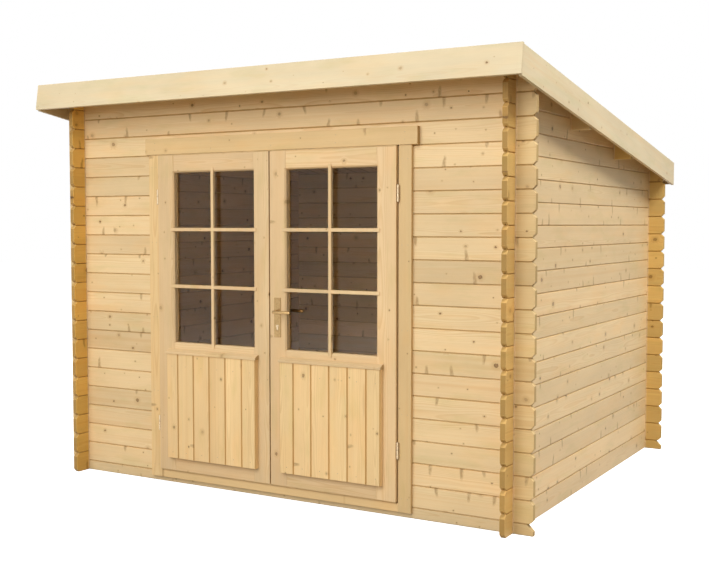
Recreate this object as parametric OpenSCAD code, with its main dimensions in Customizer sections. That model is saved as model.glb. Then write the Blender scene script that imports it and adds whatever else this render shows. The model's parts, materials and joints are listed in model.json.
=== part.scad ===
// Garden shed of interlocking logs with a pent roof and a glazed double door.
// Millimetres, +X to the right, +Y to the back, +Z up.
// The origin lies on the ground, in the middle of the space that the roof covers.

/* [Logs] */
// Width over the outer faces of the side walls
wall_w = 2780; // [2400:10:3400]
// Depth over the outer faces of the front and back walls
wall_d = 2358; // [2000:2:3000]
// Height of one log
log_h = 114; // [108:1:122]
// Thickness of one log
log_t = 28; // [24:1:40]
// Length of the log ends beyond a corner
log_overhang = 102; // [70:1:130]
// Whole logs in the front wall, above its half log
front_rows = 19; // [19:1:21]
// Whole logs in the back wall, above its half log
back_rows = 16; // [15:1:17]
// Chamfer along the long edges of a log
log_edge = 4; // [1:0.5:6.5]
// Chamfer at the top and the bottom of a log end
log_end = 19; // [8:1:28]
// Chamfer at the top of a half log's end
half_log_end = 34; // [8:1:40]
// Width of the tongue on a log
tongue_w = 9; // [6:0.5:11]
// Height of the tongue on a log
tongue_h = 7; // [4:0.5:10]
// Play between logs, in their joints and corner notches
log_play = 0.4; // [0.2:0.1:0.8]
// Least height at the tip of a log that is cut along the roof
gable_tip = 14; // [12:1:20]

/* [Roof] */
// Reach of the roof boards in front of the front wall
eave_front = 214; // [140:2:300]
// Reach of the roof boards behind the back wall
eave_back = 122; // [110:2:220]
// Thickness of the roof boards
deck_t = 19; // [16:1:28]
// Width of one roof board
deck_board_w = 112; // [80:1:140]
// Thickness of the roofing felt
felt_t = 3; // [2:0.5:5]
// Thickness of the edge boards
fascia_t = 18; // [14:1:28]
// Height of the edge boards
fascia_h = 145; // [110:1:160]
// Height of the edge boards above the roof boards
fascia_lip = 20; // [8:1:30]
// Height of the front edge board above the side ones
front_rise = 5; // [0:1:12]
// Width of a purlin
purlin_w = 45; // [36:1:60]
// Height of a purlin
purlin_h = 120; // [90:1:140]

/* [Door frame] */
// Thickness of the side posts of the frame
jamb_t = 44; // [36:1:60]
// Thickness of the head of the frame
head_t = 40; // [30:1:50]
// Reach of the frame behind the inner face of the wall
jamb_reach = 20; // [14:1:40]
// Lap of the frame over the ends of the logs
jamb_lap = 28; // [16:1:40]
// Lap of the frame behind the edge of a leaf
stop_lap = 12; // [8:1:20]
// Thickness of the side casings
casing_t = 20; // [14:1:26]
// Thickness of the casing over the door
head_casing_t = 28; // [24:1:44]
// Height of the casing over the door
head_casing_h = 90; // [70:1:110]
// Reach of the casing over the door past the side casings
head_casing_reach = 28; // [0:1:40]
// Shift of the casing over the door to the right
head_casing_shift = 8; // [0:1:20]
// Thickness of the door sill over the half log
sill_t = 18; // [14:1:30]
// Drop of the nose of the door sill below the top of the half log
sill_drop = 28; // [10:1:40]

/* [Door leaves] */
// Width of one leaf
leaf_w = 765; // [650:1:850]
// Height of one leaf
leaf_h = 1796; // [1700:1:1820]
// Thickness of a leaf
leaf_t = 40; // [34:1:50]
// Distance of the front of the leaves from the front wall
leaf_proud = 35; // [28:1:44]
// Gap between the two leaves
meeting_gap = 8; // [7:0.5:12]
// Gap between a leaf and the frame
leaf_gap = 6.5; // [6:0.5:10]
// Width of the upright member of a leaf beside the other leaf
stile_w = 102; // [80:1:120]
// Width of the upright member of a leaf beside its hinges
hinge_stile_w = 112; // [80:1:130]
// Height of the rail over the window
top_rail_h = 98; // [80:1:120]
// Height of the rail under the window
mid_rail_h = 110; // [90:1:150]
// Height of the rail at the bottom
bottom_rail_h = 120; // [90:1:160]
// Height of the window
window_h = 962; // [800:1:1000]
// Bevel around the window
window_bevel = 8; // [3:1:14]
// Distance of the glass behind the front of a leaf
glass_set = 30; // [22:1:32]
// Thickness of the glass
glass_t = 4; // [3:0.5:6]
// Depth of the groove that holds the glass
glass_groove = 10; // [6:1:16]
// Width of a glazing bar at its front
bar_w = 18; // [14:1:30]
// Slope of each side of a glazing bar
bar_flare = 1.5; // [0.5:0.5:5]
// Depth of a glazing bar
bar_d = 15; // [12:1:22]
// Reach of the glazing bars in front of a leaf
bar_proud = 5; // [2:0.5:6]
// Lap of the glazing bars over the front of the stiles and rails
bar_lap = 13; // [4:1:16]
// Height of the rail that shows between the window and the rain moulding
rail_show = 38; // [20:1:60]

/* [Door panels] */
// Width of the boarded panel
panel_w = 617; // [580:1:640]
// Thickness of the boarded panel
panel_t = 28; // [18:1:32]
// Distance of the panel from the bottom of the leaf
panel_rise = 77; // [50:1:90]
// Width of one panel board
panel_board_w = 111; // [80:1:130]
// Width of the first board of the left leaf
left_first_board = 81; // [30:1:110]
// Width of the first board of the right leaf
right_first_board = 90; // [30:1:110]
// Width of the V groove between boards
vee_w = 10; // [3:0.5:12]
// Depth of the V groove between boards
vee_d = 5; // [2:0.5:8]
// Height of the rain moulding over the panel
rain_h = 26; // [18:1:34]
// Reach of the rain moulding in front of the leaf
rain_reach = 34; // [30:1:40]
// Reach of the rain moulding past each side of the panel
rain_over = 4; // [0:1:18]

/* [Door fittings] */
// Radius of a hinge knuckle
knuckle_r = 5.5; // [4.5:0.5:6.5]
// Length of a closed hinge barrel
barrel_l = 86; // [60:2:110]
// Radius of a hinge pin
pin_r = 3; // [2:0.5:3.5]
// Radius of the screwed shank of a hinge
shank_r = 3.5; // [2.5:0.5:4]
// Length of the screwed shank of a hinge in the wood
shank_l = 20; // [14:1:30]
// Distance of the lower hinge from the bottom of a leaf
hinge_low = 264; // [150:1:350]
// Distance of the upper hinge from the top of a leaf
hinge_high = 234; // [150:1:350]
// Distance from the edge of a leaf to its hinge axis
hinge_out = 8; // [7.5:0.5:10]
// Distance of the hinge axis behind the front of a leaf
hinge_back = 5; // [4:0.5:6]
// Height of the lever above the bottom of the leaf
lever_rise = 940; // [880:1:1000]
// Distance of the lever from the edge of the leaf
lever_backset = 48; // [40:1:56]
// Length of the lever
lever_l = 108; // [90:1:125]
// Radius of the lever
lever_r = 8; // [6:0.5:10]
// Distance of the lever from its plate
lever_stand = 40; // [34:1:55]
// Radius of the lever neck
neck_r = 9; // [7:0.5:11]
// Width of a lock plate
plate_w = 42; // [36:1:50]
// Height of a lock plate
plate_h = 212; // [180:1:240]
// Thickness of a lock plate
plate_t = 3; // [2:0.5:4]
// Radius of the corners of a lock plate
plate_corner = 4; // [2:0.5:10]
// Radius of a screw hole in a lock plate
screw_r = 2.5; // [1.5:0.5:3.5]
// Distance of the keyhole below the lever
key_drop = 78; // [66:1:92]
// Radius of the round end of the lock cylinder
key_r = 8.5; // [7:0.5:9]

/* [Floor] */
// Thickness of the floor boards
floor_t = 18; // [14:1:26]
// Width of one floor board
floor_board_w = 96; // [80:1:140]
// Gap between the floor and the walls
floor_gap = 8; // [4:1:20]
// Width of a floor joist
joist_w = 45; // [36:1:70]
// Number of floor joists
joist_count = 5; // [4:1:7]

/* [Hidden] */
// Gap between pieces that are seated on each other
seat = 0.3;
// Play around pins and shanks
pin_play = 0.3;
// Overshoot of cutting shapes
over = 1;
$fn = 48;

log_half = log_h / 2;
notch_d = log_h / 4 + log_play / 2;
front_top = log_half + front_rows * log_h;
back_top = log_half + back_rows * log_h;
slope = (front_top - back_top) / (wall_d - log_t);
pitch = atan(slope);
side_rows = ceil((roof_z(-log_overhang) - gable_tip) / log_h);
log_reach = wall_w / 2 + log_overhang;

deck_start = -(eave_front + log_t / 2) / cos(pitch);
deck_end = (wall_d + eave_back - log_t / 2) / cos(pitch);
deck_low = seat;
deck_top = deck_low + deck_t;
fascia_top = deck_top + fascia_lip;
fascia_low = fascia_top - fascia_h;
fascia_in = log_reach + seat;
fascia_out = fascia_in + fascia_t;
purlin_span = wall_d - log_t;
purlin_ys = [for (i = [1, 2]) log_t / 2 + purlin_span * i / 3];

roof_front_y = slope_y(deck_start - seat - fascia_t, fascia_low + front_rise);
roof_back_y = slope_y(deck_end + seat + fascia_t, fascia_top);
centre_y = (roof_front_y + roof_back_y) / 2;

floor_top = log_half;
sill_top = floor_top + sill_t;
leaf_z = sill_top + leaf_gap;
leaf_top = leaf_z + leaf_h;
head_z = leaf_top + leaf_gap;
opening_top = head_z + head_t;
door_rows = floor(opening_top / log_h - 0.5);
leaf_in = meeting_gap / 2;
leaf_out = leaf_in + leaf_w;
jamb_in = leaf_out + leaf_gap;
jamb_out = jamb_in + jamb_t;
casing_out = jamb_out + jamb_lap;
frame_back = log_t + jamb_reach;
leaf_front = -leaf_proud;
leaf_back = leaf_front + leaf_t;
stop_front = leaf_back + leaf_gap;
stop_in = leaf_out - stop_lap;

window_x = leaf_in + stile_w;
window_w = leaf_w - stile_w - hinge_stile_w;
window_top = leaf_top - top_rail_h;
window_z = window_top - window_h;
mid_rail_z = window_z - mid_rail_h;
glass_y = min(leaf_front + glass_set, leaf_back - glass_t - 4);
bar_rows = 3;
panel_x = leaf_in + (leaf_w - panel_w) / 2;
panel_z = leaf_z + panel_rise;
panel_top = window_z - rail_show - rain_h;

hinge_x = leaf_out + hinge_out;
hinge_y = leaf_front + hinge_back;
hinge_zs = [leaf_z + hinge_low, leaf_top - hinge_high];
frame_shank_l = leaf_proud - hinge_back + shank_l;
lever_x = leaf_in + lever_backset;
lever_z = leaf_z + lever_rise;
plate_mid = lever_z - key_drop * 0.4;
neck_play = 0.4;

// Height of the underside of the roof boards at a distance behind the front wall's face
function roof_z(y) = front_top - slope * (y - log_t / 2);
// Distance behind the front wall's face of a point given along and above the roof slope
function slope_y(along, above) = log_t / 2 + along * cos(pitch) + above * sin(pitch);
// Point along the side wall where a gable log has tapered down to its tip
function tip_y(row) = log_t / 2 + (front_top - row * log_h - gable_tip) / slope;

// Moves the shed from its front wall's face to its origin
module place() {
    translate([0, -centre_y, 0]) children();
}

// Turns a shape drawn level into the slope of the roof, which starts on the front wall's top
module on_slope() {
    translate([0, log_t / 2, front_top]) rotate([-pitch, 0, 0]) children();
}

// Extrudes an outline of depth and height along X
module along_x(x, length) {
    translate([x, 0, 0]) rotate([90, 0, 90]) linear_extrude(length) children();
}

// Extrudes an outline of width and height along Y
module along_y(y, length) {
    translate([0, y + length, 0]) rotate([90, 0, 0]) linear_extrude(length) children();
}

// End view of a log: chamfered edges, a tongue on top and a groove below
module log_section(height, grooved) {
    low = log_play / 2;
    high = height - log_play / 2;
    base = grooved ? low : 0;
    groove_l = (log_t - tongue_w) / 2 - log_play;
    groove_r = log_t - groove_l;
    groove_top = base + tongue_h + log_play;
    tongue_l = (log_t - tongue_w) / 2;
    tongue_r = log_t - tongue_l;
    groove = grooved
        ? [[groove_l, base], [groove_l, groove_top], [groove_r, groove_top], [groove_r, base]]
        : [];
    polygon(concat(
        [[0, base + log_edge], [log_edge, base]],
        groove,
        [[log_t - log_edge, base], [log_t, base + log_edge],
         [log_t, high - log_edge], [log_t - log_edge, high],
         [tongue_r, high], [tongue_r, high + tongue_h], [tongue_l, high + tongue_h], [tongue_l, high],
         [log_edge, high], [0, high - log_edge]]
    ));
}

// Side view of a log: chamfered free ends, and a notch above and below at each corner that it crosses
module log_outline(length, height, notches, free_a, free_b, grounded) {
    top = height + tongue_h;
    below = notch_d;
    above = height - notch_d;
    wide = log_t + log_play;
    end = grounded ? min(half_log_end, height - gable_tip) : log_end;
    bottom_a = free_a && !grounded ? [[0, log_end], [log_end, 0]] : [[0, 0]];
    bottom_b = free_b && !grounded ? [[length - log_end, 0], [length, log_end]] : [[length, 0]];
    top_b = free_b
        ? [[length, height - end], [length - end - tongue_h, top]]
        : [[length, top]];
    top_a = free_a ? [[end + tongue_h, top], [0, height - end]] : [[0, top]];
    lower = [for (x = grounded ? [] : notches)
        each [[x - log_play, 0], [x - log_play, below], [x + wide, below], [x + wide, 0]]];
    upper = [for (i = [len(notches) - 1 : -1 : 0])
        each [[notches[i] + wide, top], [notches[i] + wide, above],
              [notches[i] - log_play, above], [notches[i] - log_play, top]]];
    polygon(concat(bottom_a, lower, bottom_b, top_b, upper, top_a));
}

// A log that lies along X, with its outer face at y = 0
module log_bar(length, notches, free_a = true, free_b = true,
               height = log_h, grounded = false, grooved = true) {
    intersection() {
        along_x(0, length) log_section(height, grooved);
        along_y(-over, log_t + 2 * over) log_outline(length, height, notches, free_a, free_b, grounded);
    }
}

// Space under the roof boards, as deep as the side walls
module under_roof() {
    near = -log_overhang - over;
    far = wall_d + log_overhang + over;
    along_x(-log_reach - over, 2 * (log_reach + over))
        polygon([[near, 0], [far, 0], [far, roof_z(far)], [near, roof_z(near)]]);
}

// End view of the purlin at y, with its top cut along the roof and a play around it
module purlin_section(y, play) {
    near = y - purlin_w / 2 - play;
    far = y + purlin_w / 2 + play;
    low = roof_z(y) - purlin_h - play;
    polygon([[near, low], [far, low], [far, roof_z(far) + play], [near, roof_z(near) + play]]);
}

// One log of a side wall, from the front, with the top ones cut along the roof and let out for the purlins
module side_log(row) {
    whole = wall_d + 2 * log_overhang;
    to_tip = tip_y(row) + log_overhang;
    crosses_back = to_tip > wall_d + log_overhang + gable_tip;
    length = crosses_back ? min(whole, to_tip) : min(to_tip, whole - log_overhang - log_t - 2 * log_play);
    corners = [log_overhang, log_overhang + wall_d - log_t];
    notches = crosses_back ? corners : [corners[0]];
    module bar() {
        translate([log_t, -log_overhang, row * log_h]) rotate([0, 0, 90])
            log_bar(length, notches, free_b = crosses_back && length == whole, grooved = row > 0);
    }
    purlin_low = min([for (y = purlin_ys) roof_z(y)]) - purlin_h;
    if ((row + 1) * log_h + tongue_h > purlin_low)
        difference() {
            intersection() {
                bar();
                translate([log_t / 2, 0, 0]) under_roof();
            }
            for (y = purlin_ys)
                along_x(-over, log_t + 2 * over) purlin_section(y, log_play);
        }
    else
        bar();
}

// A whole side wall, with its outer left face at x
module side_wall(x) {
    translate([x, 0, 0])
        for (row = [0 : side_rows - 1]) side_log(row);
}

// The log of a cross wall that reaches over both corners, at a row above the half log
module cross_log(row, y) {
    corners = [log_overhang, log_overhang + wall_w - log_t];
    translate([-log_reach, y, log_half + row * log_h]) log_bar(2 * log_reach, corners);
}

// The half log on the ground under a cross wall
module half_log(y) {
    corners = [log_overhang, log_overhang + wall_w - log_t];
    translate([-log_reach, y, 0])
        log_bar(2 * log_reach, corners, height = log_half, grounded = true, grooved = false);
}

module left_wall_logs() {
    color("burlywood") place() side_wall(-wall_w / 2);
}

module right_wall_logs() {
    color("burlywood") place() side_wall(wall_w / 2 - log_t);
}

module back_wall_logs() {
    y = wall_d - log_t;
    color("burlywood") place() {
        half_log(y);
        for (row = [0 : back_rows - 2]) cross_log(row, y);
        intersection() {
            cross_log(back_rows - 1, y);
            under_roof();
        }
    }
}

module front_sill_log() {
    color("burlywood") place() difference() {
        half_log(0);
        translate([-jamb_out, -over, log_half - log_play / 2])
            cube([2 * jamb_out, log_t + 2 * over, tongue_h + over]);
    }
}

// The short logs of the front wall to the left of the door
module short_logs() {
    for (row = [0 : door_rows - 1])
        translate([-log_reach, 0, log_half + row * log_h])
            log_bar(log_reach - jamb_out - seat, [log_overhang], free_b = false);
}

module front_left_logs() {
    color("burlywood") place() short_logs();
}

module front_right_logs() {
    color("burlywood") place() mirror([1, 0, 0]) short_logs();
}

module front_lintel_logs() {
    color("burlywood") place() intersection() {
        difference() {
            for (row = [door_rows : front_rows - 1]) cross_log(row, 0);
            translate([-jamb_out - seat, -over, 0])
                cube([2 * (jamb_out + seat), log_t + 2 * over, opening_top + seat]);
        }
        under_roof();
    }
}

module purlins() {
    color("wheat") place()
        for (y = purlin_ys)
            along_x(-log_reach, 2 * log_reach) purlin_section(y, 0);
}

// End view of boards laid side by side, with a V groove at each joint on the lower face
module board_row(width, thick, first, pitch_w) {
    joints = [for (x = [first : pitch_w : width - vee_w]) x];
    polygon(concat(
        [[0, thick], [0, vee_d], [vee_w / 2, 0]],
        [for (x = joints) each [[x - vee_w / 2, 0], [x, vee_d], [x + vee_w / 2, 0]]],
        [[width - vee_w / 2, 0], [width, vee_d], [width, thick]]
    ));
}

module roof_deck() {
    first = (2 * log_reach) % deck_board_w / 2 + deck_board_w / 2;
    color("wheat") place() on_slope()
        translate([-log_reach, 0, deck_low])
            along_y(deck_start, deck_end - deck_start)
                board_row(2 * log_reach, deck_t, first, deck_board_w);
}

module roof_felt() {
    color("dimgray") place() on_slope()
        translate([-log_reach, deck_start, deck_top + seat])
            cube([2 * log_reach, deck_end - deck_start, felt_t]);
}

// An edge board across the front or the back of the roof, starting at a place along the slope
module cross_fascia(along, half, rise = 0) {
    on_slope() translate([-half, along, fascia_low + rise])
        cube([2 * half, fascia_t, fascia_h]);
}

// An edge board down one side of the roof, starting at x and cut plumb behind the rear one
module side_fascia(x) {
    intersection() {
        on_slope() translate([x, deck_start, fascia_low])
            cube([fascia_t, deck_end - deck_start + fascia_h, fascia_h]);
        translate([x - over, roof_front_y, 0])
            cube([fascia_t + 2 * over, roof_back_y - roof_front_y, 2 * front_top]);
    }
}

module front_fascia() {
    color("moccasin") place() cross_fascia(deck_start - fascia_t - seat, fascia_out, front_rise);
}

module left_fascia() {
    color("moccasin") place() side_fascia(-fascia_out);
}

module right_fascia() {
    color("moccasin") place() side_fascia(fascia_in);
}

module rear_fascia() {
    color("moccasin") place() cross_fascia(deck_end + seat, fascia_in - seat);
}

// Hole for a hinge shank that enters the frame from the front
module frame_shank_holes() {
    for (z = hinge_zs)
        translate([hinge_x + shank_r, hinge_y, z - barrel_l / 4]) rotate([-90, 0, 0])
            cylinder(r = shank_r + pin_play, h = frame_shank_l + over);
}

// The right post of the frame: grooved over the ends of the logs, with a stop behind the leaf
module jamb() {
    foot = floor_top + seat;
    height = head_z - seat - foot;
    stop_z = sill_top + seat;
    difference() {
        union() {
            translate([0, 0, foot]) linear_extrude(height) polygon([
                [jamb_in, seat], [jamb_out, seat],
                [jamb_out, log_t + seat], [casing_out, log_t + seat],
                [casing_out, frame_back], [jamb_in, frame_back]
            ]);
            translate([stop_in, stop_front, stop_z])
                cube([jamb_in - stop_in + over, frame_back - stop_front, head_z - seat - stop_z]);
        }
        frame_shank_holes();
    }
}

module right_jamb() {
    color("moccasin") place() jamb();
}

module left_jamb() {
    color("moccasin") place() mirror([1, 0, 0]) jamb();
}

module head_jamb() {
    color("moccasin") place() {
        along_x(-jamb_out, 2 * jamb_out) polygon([
            [seat, head_z], [frame_back, head_z],
            [frame_back, opening_top + jamb_lap], [log_t + seat, opening_top + jamb_lap],
            [log_t + seat, opening_top], [seat, opening_top]
        ]);
        translate([-stop_in + seat, stop_front, head_z - leaf_gap - stop_lap])
            cube([2 * (stop_in - seat), frame_back - stop_front, leaf_gap + stop_lap + over]);
    }
}

module door_sill() {
    low = floor_top - sill_drop;
    fall = sill_t / 6;
    color("moccasin") place() along_x(-jamb_in + seat, 2 * (jamb_in - seat)) polygon([
        [-casing_t, low], [-seat, low],
        [-seat, floor_top + seat], [frame_back, floor_top + seat],
        [frame_back, sill_top], [0, sill_top], [-casing_t, sill_top - fall]
    ]);
}

// The right casing in front of the frame and the log ends
module casing() {
    low = floor_top - sill_drop;
    difference() {
        translate([jamb_in, -casing_t, low])
            cube([casing_out - jamb_in, casing_t - seat, head_z - seat - low]);
        frame_shank_holes();
    }
}

module right_casing() {
    color("moccasin") place() casing();
}

module left_casing() {
    color("moccasin") place() mirror([1, 0, 0]) casing();
}

module head_casing() {
    half = casing_out + head_casing_reach;
    color("moccasin") place()
        translate([head_casing_shift - half, -head_casing_t, head_z])
            cube([2 * half, head_casing_t - seat, head_casing_h]);
}

module floor_joists() {
    height = floor_top - floor_t - seat;
    half = wall_w / 2 - log_t - floor_gap;
    near = log_t + floor_gap;
    far = wall_d - log_t - floor_gap - joist_w;
    color("peru") place()
        for (i = [0 : joist_count - 1])
            translate([-half, near + (far - near) * i / (joist_count - 1), 0])
                cube([2 * half, joist_w, height]);
}

module floor_boards() {
    half = wall_w / 2 - log_t - floor_gap;
    near = log_t + floor_gap;
    length = wall_d - 2 * near;
    first = (2 * half) % floor_board_w / 2 + floor_board_w / 2;
    color("tan") place()
        translate([-half, 0, floor_top]) mirror([0, 0, 1])
            along_y(near, length) board_row(2 * half, floor_t, first, floor_board_w);
}

// Frame halves of the hinges of the right leaf: lower knuckle, pin and shank
module frame_hinge_halves() {
    half = barrel_l / 2;
    for (z = hinge_zs)
        translate([hinge_x, hinge_y, z]) {
            translate([0, 0, -half]) cylinder(r = knuckle_r, h = half - seat);
            translate([0, 0, -half]) cylinder(r = pin_r, h = barrel_l - knuckle_r);
            translate([shank_r, 0, -half / 2]) rotate([-90, 0, 0]) cylinder(r = shank_r, h = frame_shank_l);
        }
}

module frame_hinges() {
    color("silver") place() {
        frame_hinge_halves();
        mirror([1, 0, 0]) frame_hinge_halves();
    }
}

// Leaf halves of the hinges of the right leaf: bored upper knuckle and shank
module leaf_hinge_halves() {
    half = barrel_l / 2;
    for (z = hinge_zs)
        translate([hinge_x, hinge_y, z])
            difference() {
                union() {
                    translate([0, 0, seat]) cylinder(r = knuckle_r, h = half - seat);
                    translate([0, shank_r, half / 2]) rotate([0, -90, 0])
                        cylinder(r = shank_r, h = hinge_out + shank_l);
                }
                cylinder(r = pin_r + pin_play, h = half - knuckle_r + pin_play);
            }
}

module right_leaf_hinges() {
    color("silver") place() leaf_hinge_halves();
}

module left_leaf_hinges() {
    color("silver") place() mirror([1, 0, 0]) leaf_hinge_halves();
}

// Clear space of the right leaf's window in front of the glass, bevelled to the front, less a play
module window_space(play) {
    x0 = window_x + play;
    x1 = window_x + window_w - play;
    z0 = window_z + play;
    z1 = window_top - play;
    inner = leaf_front + window_bevel;
    front = leaf_front - over;
    open = window_bevel + over;
    intersection() {
        translate([0, 0, z0 - 2 * open]) linear_extrude(z1 - z0 + 4 * open) polygon([
            [x0, glass_y], [x0, inner], [x0 - open, front],
            [x1 + open, front], [x1, inner], [x1, glass_y]
        ]);
        along_x(x0 - 2 * open, x1 - x0 + 4 * open) polygon([
            [glass_y, z0], [inner, z0], [front, z0 - open],
            [front, z1 + open], [inner, z1], [glass_y, z1]
        ]);
    }
}

// Clear space of the right leaf's window, in front of the glass and behind it
module window_spaces() {
    window_space(0);
    translate([window_x, glass_y, window_z])
        cube([window_w, leaf_back + over - glass_y, window_h]);
}

// Pane of the right leaf with a play around it
module pane(play) {
    translate([window_x - glass_groove + play, glass_y + play, window_z - glass_groove + play])
        cube([window_w + 2 * (glass_groove - play),
              glass_t - 2 * play,
              window_h + 2 * (glass_groove - play)]);
}

// The two upright members of the right leaf
module leaf_stiles(locked) {
    difference() {
        union() {
            translate([leaf_in, leaf_front, leaf_z]) cube([stile_w, leaf_t, leaf_h]);
            translate([leaf_out - hinge_stile_w, leaf_front, leaf_z]) cube([hinge_stile_w, leaf_t, leaf_h]);
        }
        window_spaces();
        pane(0);
        for (z = hinge_zs)
            translate([hinge_x, hinge_y + shank_r, z + barrel_l / 4]) rotate([0, -90, 0])
                cylinder(r = shank_r + pin_play, h = hinge_out + shank_l + over);
        if (locked)
            translate([lever_x, leaf_front - over, lever_z]) rotate([-90, 0, 0])
                cylinder(r = neck_r + neck_play, h = leaf_t + 2 * over);
    }
}

// The rails of the right leaf between its stiles: top, under the window and at the bottom
module leaf_rails() {
    x = window_x + seat;
    width = window_w - 2 * seat;
    difference() {
        union() {
            translate([x, leaf_front, window_top]) cube([width, leaf_t, top_rail_h]);
            translate([x, leaf_front, mid_rail_z]) cube([width, leaf_t, mid_rail_h]);
            translate([x, leaf_front, leaf_z]) cube([width, leaf_t, bottom_rail_h]);
        }
        window_spaces();
        pane(0);
    }
}

// The boarded panel planted on the front of the right leaf
module leaf_panel(first) {
    translate([panel_x, leaf_front - seat - panel_t, panel_z])
        linear_extrude(panel_top - panel_z)
            board_row(panel_w, panel_t, first, panel_board_w);
}

// The moulding over the panel, with a sloping top that sheds rain and a groove that lets it drip
module leaf_moulding() {
    half = rain_h / 2;
    back = leaf_front - seat;
    front = leaf_front - rain_reach;
    low = panel_top + seat;
    drip = (rain_reach - panel_t) / 3;
    along_x(panel_x - rain_over, panel_w + 2 * rain_over) polygon([
        [back, low], [back, low + rain_h], [back - rain_reach / 4, low + rain_h],
        [front, low + half], [front, low],
        [front + drip, low], [front + 1.5 * drip, low + drip], [front + 2 * drip, low]
    ]);
}

module leaf_glass() {
    pane(seat);
}

// The bars of the right leaf: one crossed grid, let into the window and lapped over its edges
module leaf_bars() {
    front = leaf_front - bar_proud;
    wide = bar_w + 2 * bar_flare;
    mid = window_x + window_w / 2;
    reach = window_bevel + bar_lap;
    section = [[-wide / 2, bar_d], [-bar_w / 2, 0], [bar_w / 2, 0], [wide / 2, bar_d]];
    intersection() {
        union() {
            translate([mid, front, window_z - reach])
                linear_extrude(window_h + 2 * reach) polygon(section);
            for (i = [1 : bar_rows - 1])
                translate([0, front, window_z + window_h * i / bar_rows])
                    along_x(window_x - reach, window_w + 2 * reach)
                        polygon([for (p = section) [p[1], p[0]]]);
        }
        union() {
            window_space(seat);
            translate([leaf_in, front - over, leaf_z])
                cube([leaf_w, bar_proud + over - seat, leaf_h]);
        }
    }
}

module right_leaf_stiles() {
    color("burlywood") place() leaf_stiles(true);
}

module left_leaf_stiles() {
    color("burlywood") place() mirror([1, 0, 0]) leaf_stiles(false);
}

module right_leaf_rails() {
    color("burlywood") place() leaf_rails();
}

module left_leaf_rails() {
    color("burlywood") place() mirror([1, 0, 0]) leaf_rails();
}

module right_leaf_panel() {
    color("wheat") place() leaf_panel(right_first_board);
}

module left_leaf_panel() {
    color("wheat") place() translate([-2 * panel_x - panel_w, 0, 0]) leaf_panel(left_first_board);
}

module right_leaf_moulding() {
    color("moccasin") place() leaf_moulding();
}

module left_leaf_moulding() {
    color("moccasin") place() mirror([1, 0, 0]) leaf_moulding();
}

module right_leaf_glass() {
    color("saddlebrown", 0.5) place() leaf_glass();
}

module left_leaf_glass() {
    color("saddlebrown", 0.5) place() mirror([1, 0, 0]) leaf_glass();
}

module right_leaf_bars() {
    color("moccasin") place() leaf_bars();
}

module left_leaf_bars() {
    color("moccasin") place() mirror([1, 0, 0]) leaf_bars();
}

// A lock plate with small round corners, its back at y = 0 and its front towards -Y
module lock_plate() {
    half_w = plate_w / 2 - plate_corner;
    half_h = plate_h / 2 - plate_corner;
    difference() {
        union() {
            translate([lever_x, 0, plate_mid]) rotate([90, 0, 0]) linear_extrude(plate_t) hull()
                for (x = [-half_w, half_w], y = [-half_h, half_h])
                    translate([x, y]) circle(r = plate_corner);
            translate([lever_x, 0, lever_z]) rotate([90, 0, 0])
                cylinder(r = neck_r + 2 * plate_t, h = 2 * plate_t);
        }
        translate([lever_x, over, lever_z]) rotate([90, 0, 0])
            cylinder(r = neck_r + neck_play, h = 2 * plate_t + 2 * over);
        translate([lever_x, over, lever_z - key_drop]) rotate([90, 0, 0])
            cylinder(r = key_r, h = plate_t + 2 * over);
        translate([lever_x - key_r * 0.6, -plate_t - over, lever_z - key_drop - 2.6 * key_r])
            cube([key_r * 1.2, plate_t + 2 * over, 2.6 * key_r]);
        for (z = [plate_mid - plate_h / 2 + 3 * screw_r, plate_mid + plate_h / 2 - 3 * screw_r])
            translate([lever_x, over, z]) rotate([90, 0, 0])
                cylinder(r = screw_r, h = plate_t + 2 * over);
    }
}

module lock_plates() {
    color("darkgoldenrod") place() {
        translate([0, leaf_front - seat, 0]) lock_plate();
        translate([0, leaf_back + seat, 0]) mirror([0, 1, 0]) lock_plate();
    }
}

// One lever with its neck, from the middle of the leaf towards -Y
module lever_half() {
    reach = leaf_t / 2 + seat + 2 * plate_t + lever_stand;
    rotate([90, 0, 0]) cylinder(r = neck_r, h = reach);
    translate([0, -reach, 0]) {
        sphere(r = neck_r);
        rotate([0, 90, 0]) cylinder(r = lever_r, h = lever_l - lever_r);
        translate([lever_l - lever_r, 0, 0]) sphere(r = lever_r);
    }
}

module door_lever() {
    color("darkgoldenrod") place()
        translate([lever_x, (leaf_front + leaf_back) / 2, lever_z]) {
            lever_half();
            mirror([0, 1, 0]) lever_half();
        }
}

left_wall_logs();
right_wall_logs();
back_wall_logs();
front_sill_log();
front_left_logs();
front_right_logs();
front_lintel_logs();
purlins();
roof_deck();
roof_felt();
front_fascia();
left_fascia();
right_fascia();
rear_fascia();
left_jamb();
right_jamb();
head_jamb();
door_sill();
left_casing();
right_casing();
head_casing();
floor_joists();
floor_boards();
frame_hinges();
left_leaf_stiles();
left_leaf_rails();
left_leaf_panel();
left_leaf_moulding();
left_leaf_glass();
left_leaf_bars();
left_leaf_hinges();
right_leaf_stiles();
right_leaf_rails();
right_leaf_panel();
right_leaf_moulding();
right_leaf_glass();
right_leaf_bars();
right_leaf_hinges();
lock_plates();
door_lever();
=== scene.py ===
"""Looks of a garden shed of interlocking logs: grain on every log and board, felt, glass and fittings."""

import json
import math
import random
from collections import namedtuple

import bmesh
import bpy
from bpy.props import FloatProperty, FloatVectorProperty, IntProperty, PointerProperty
from mathutils import Matrix, Vector

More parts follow.
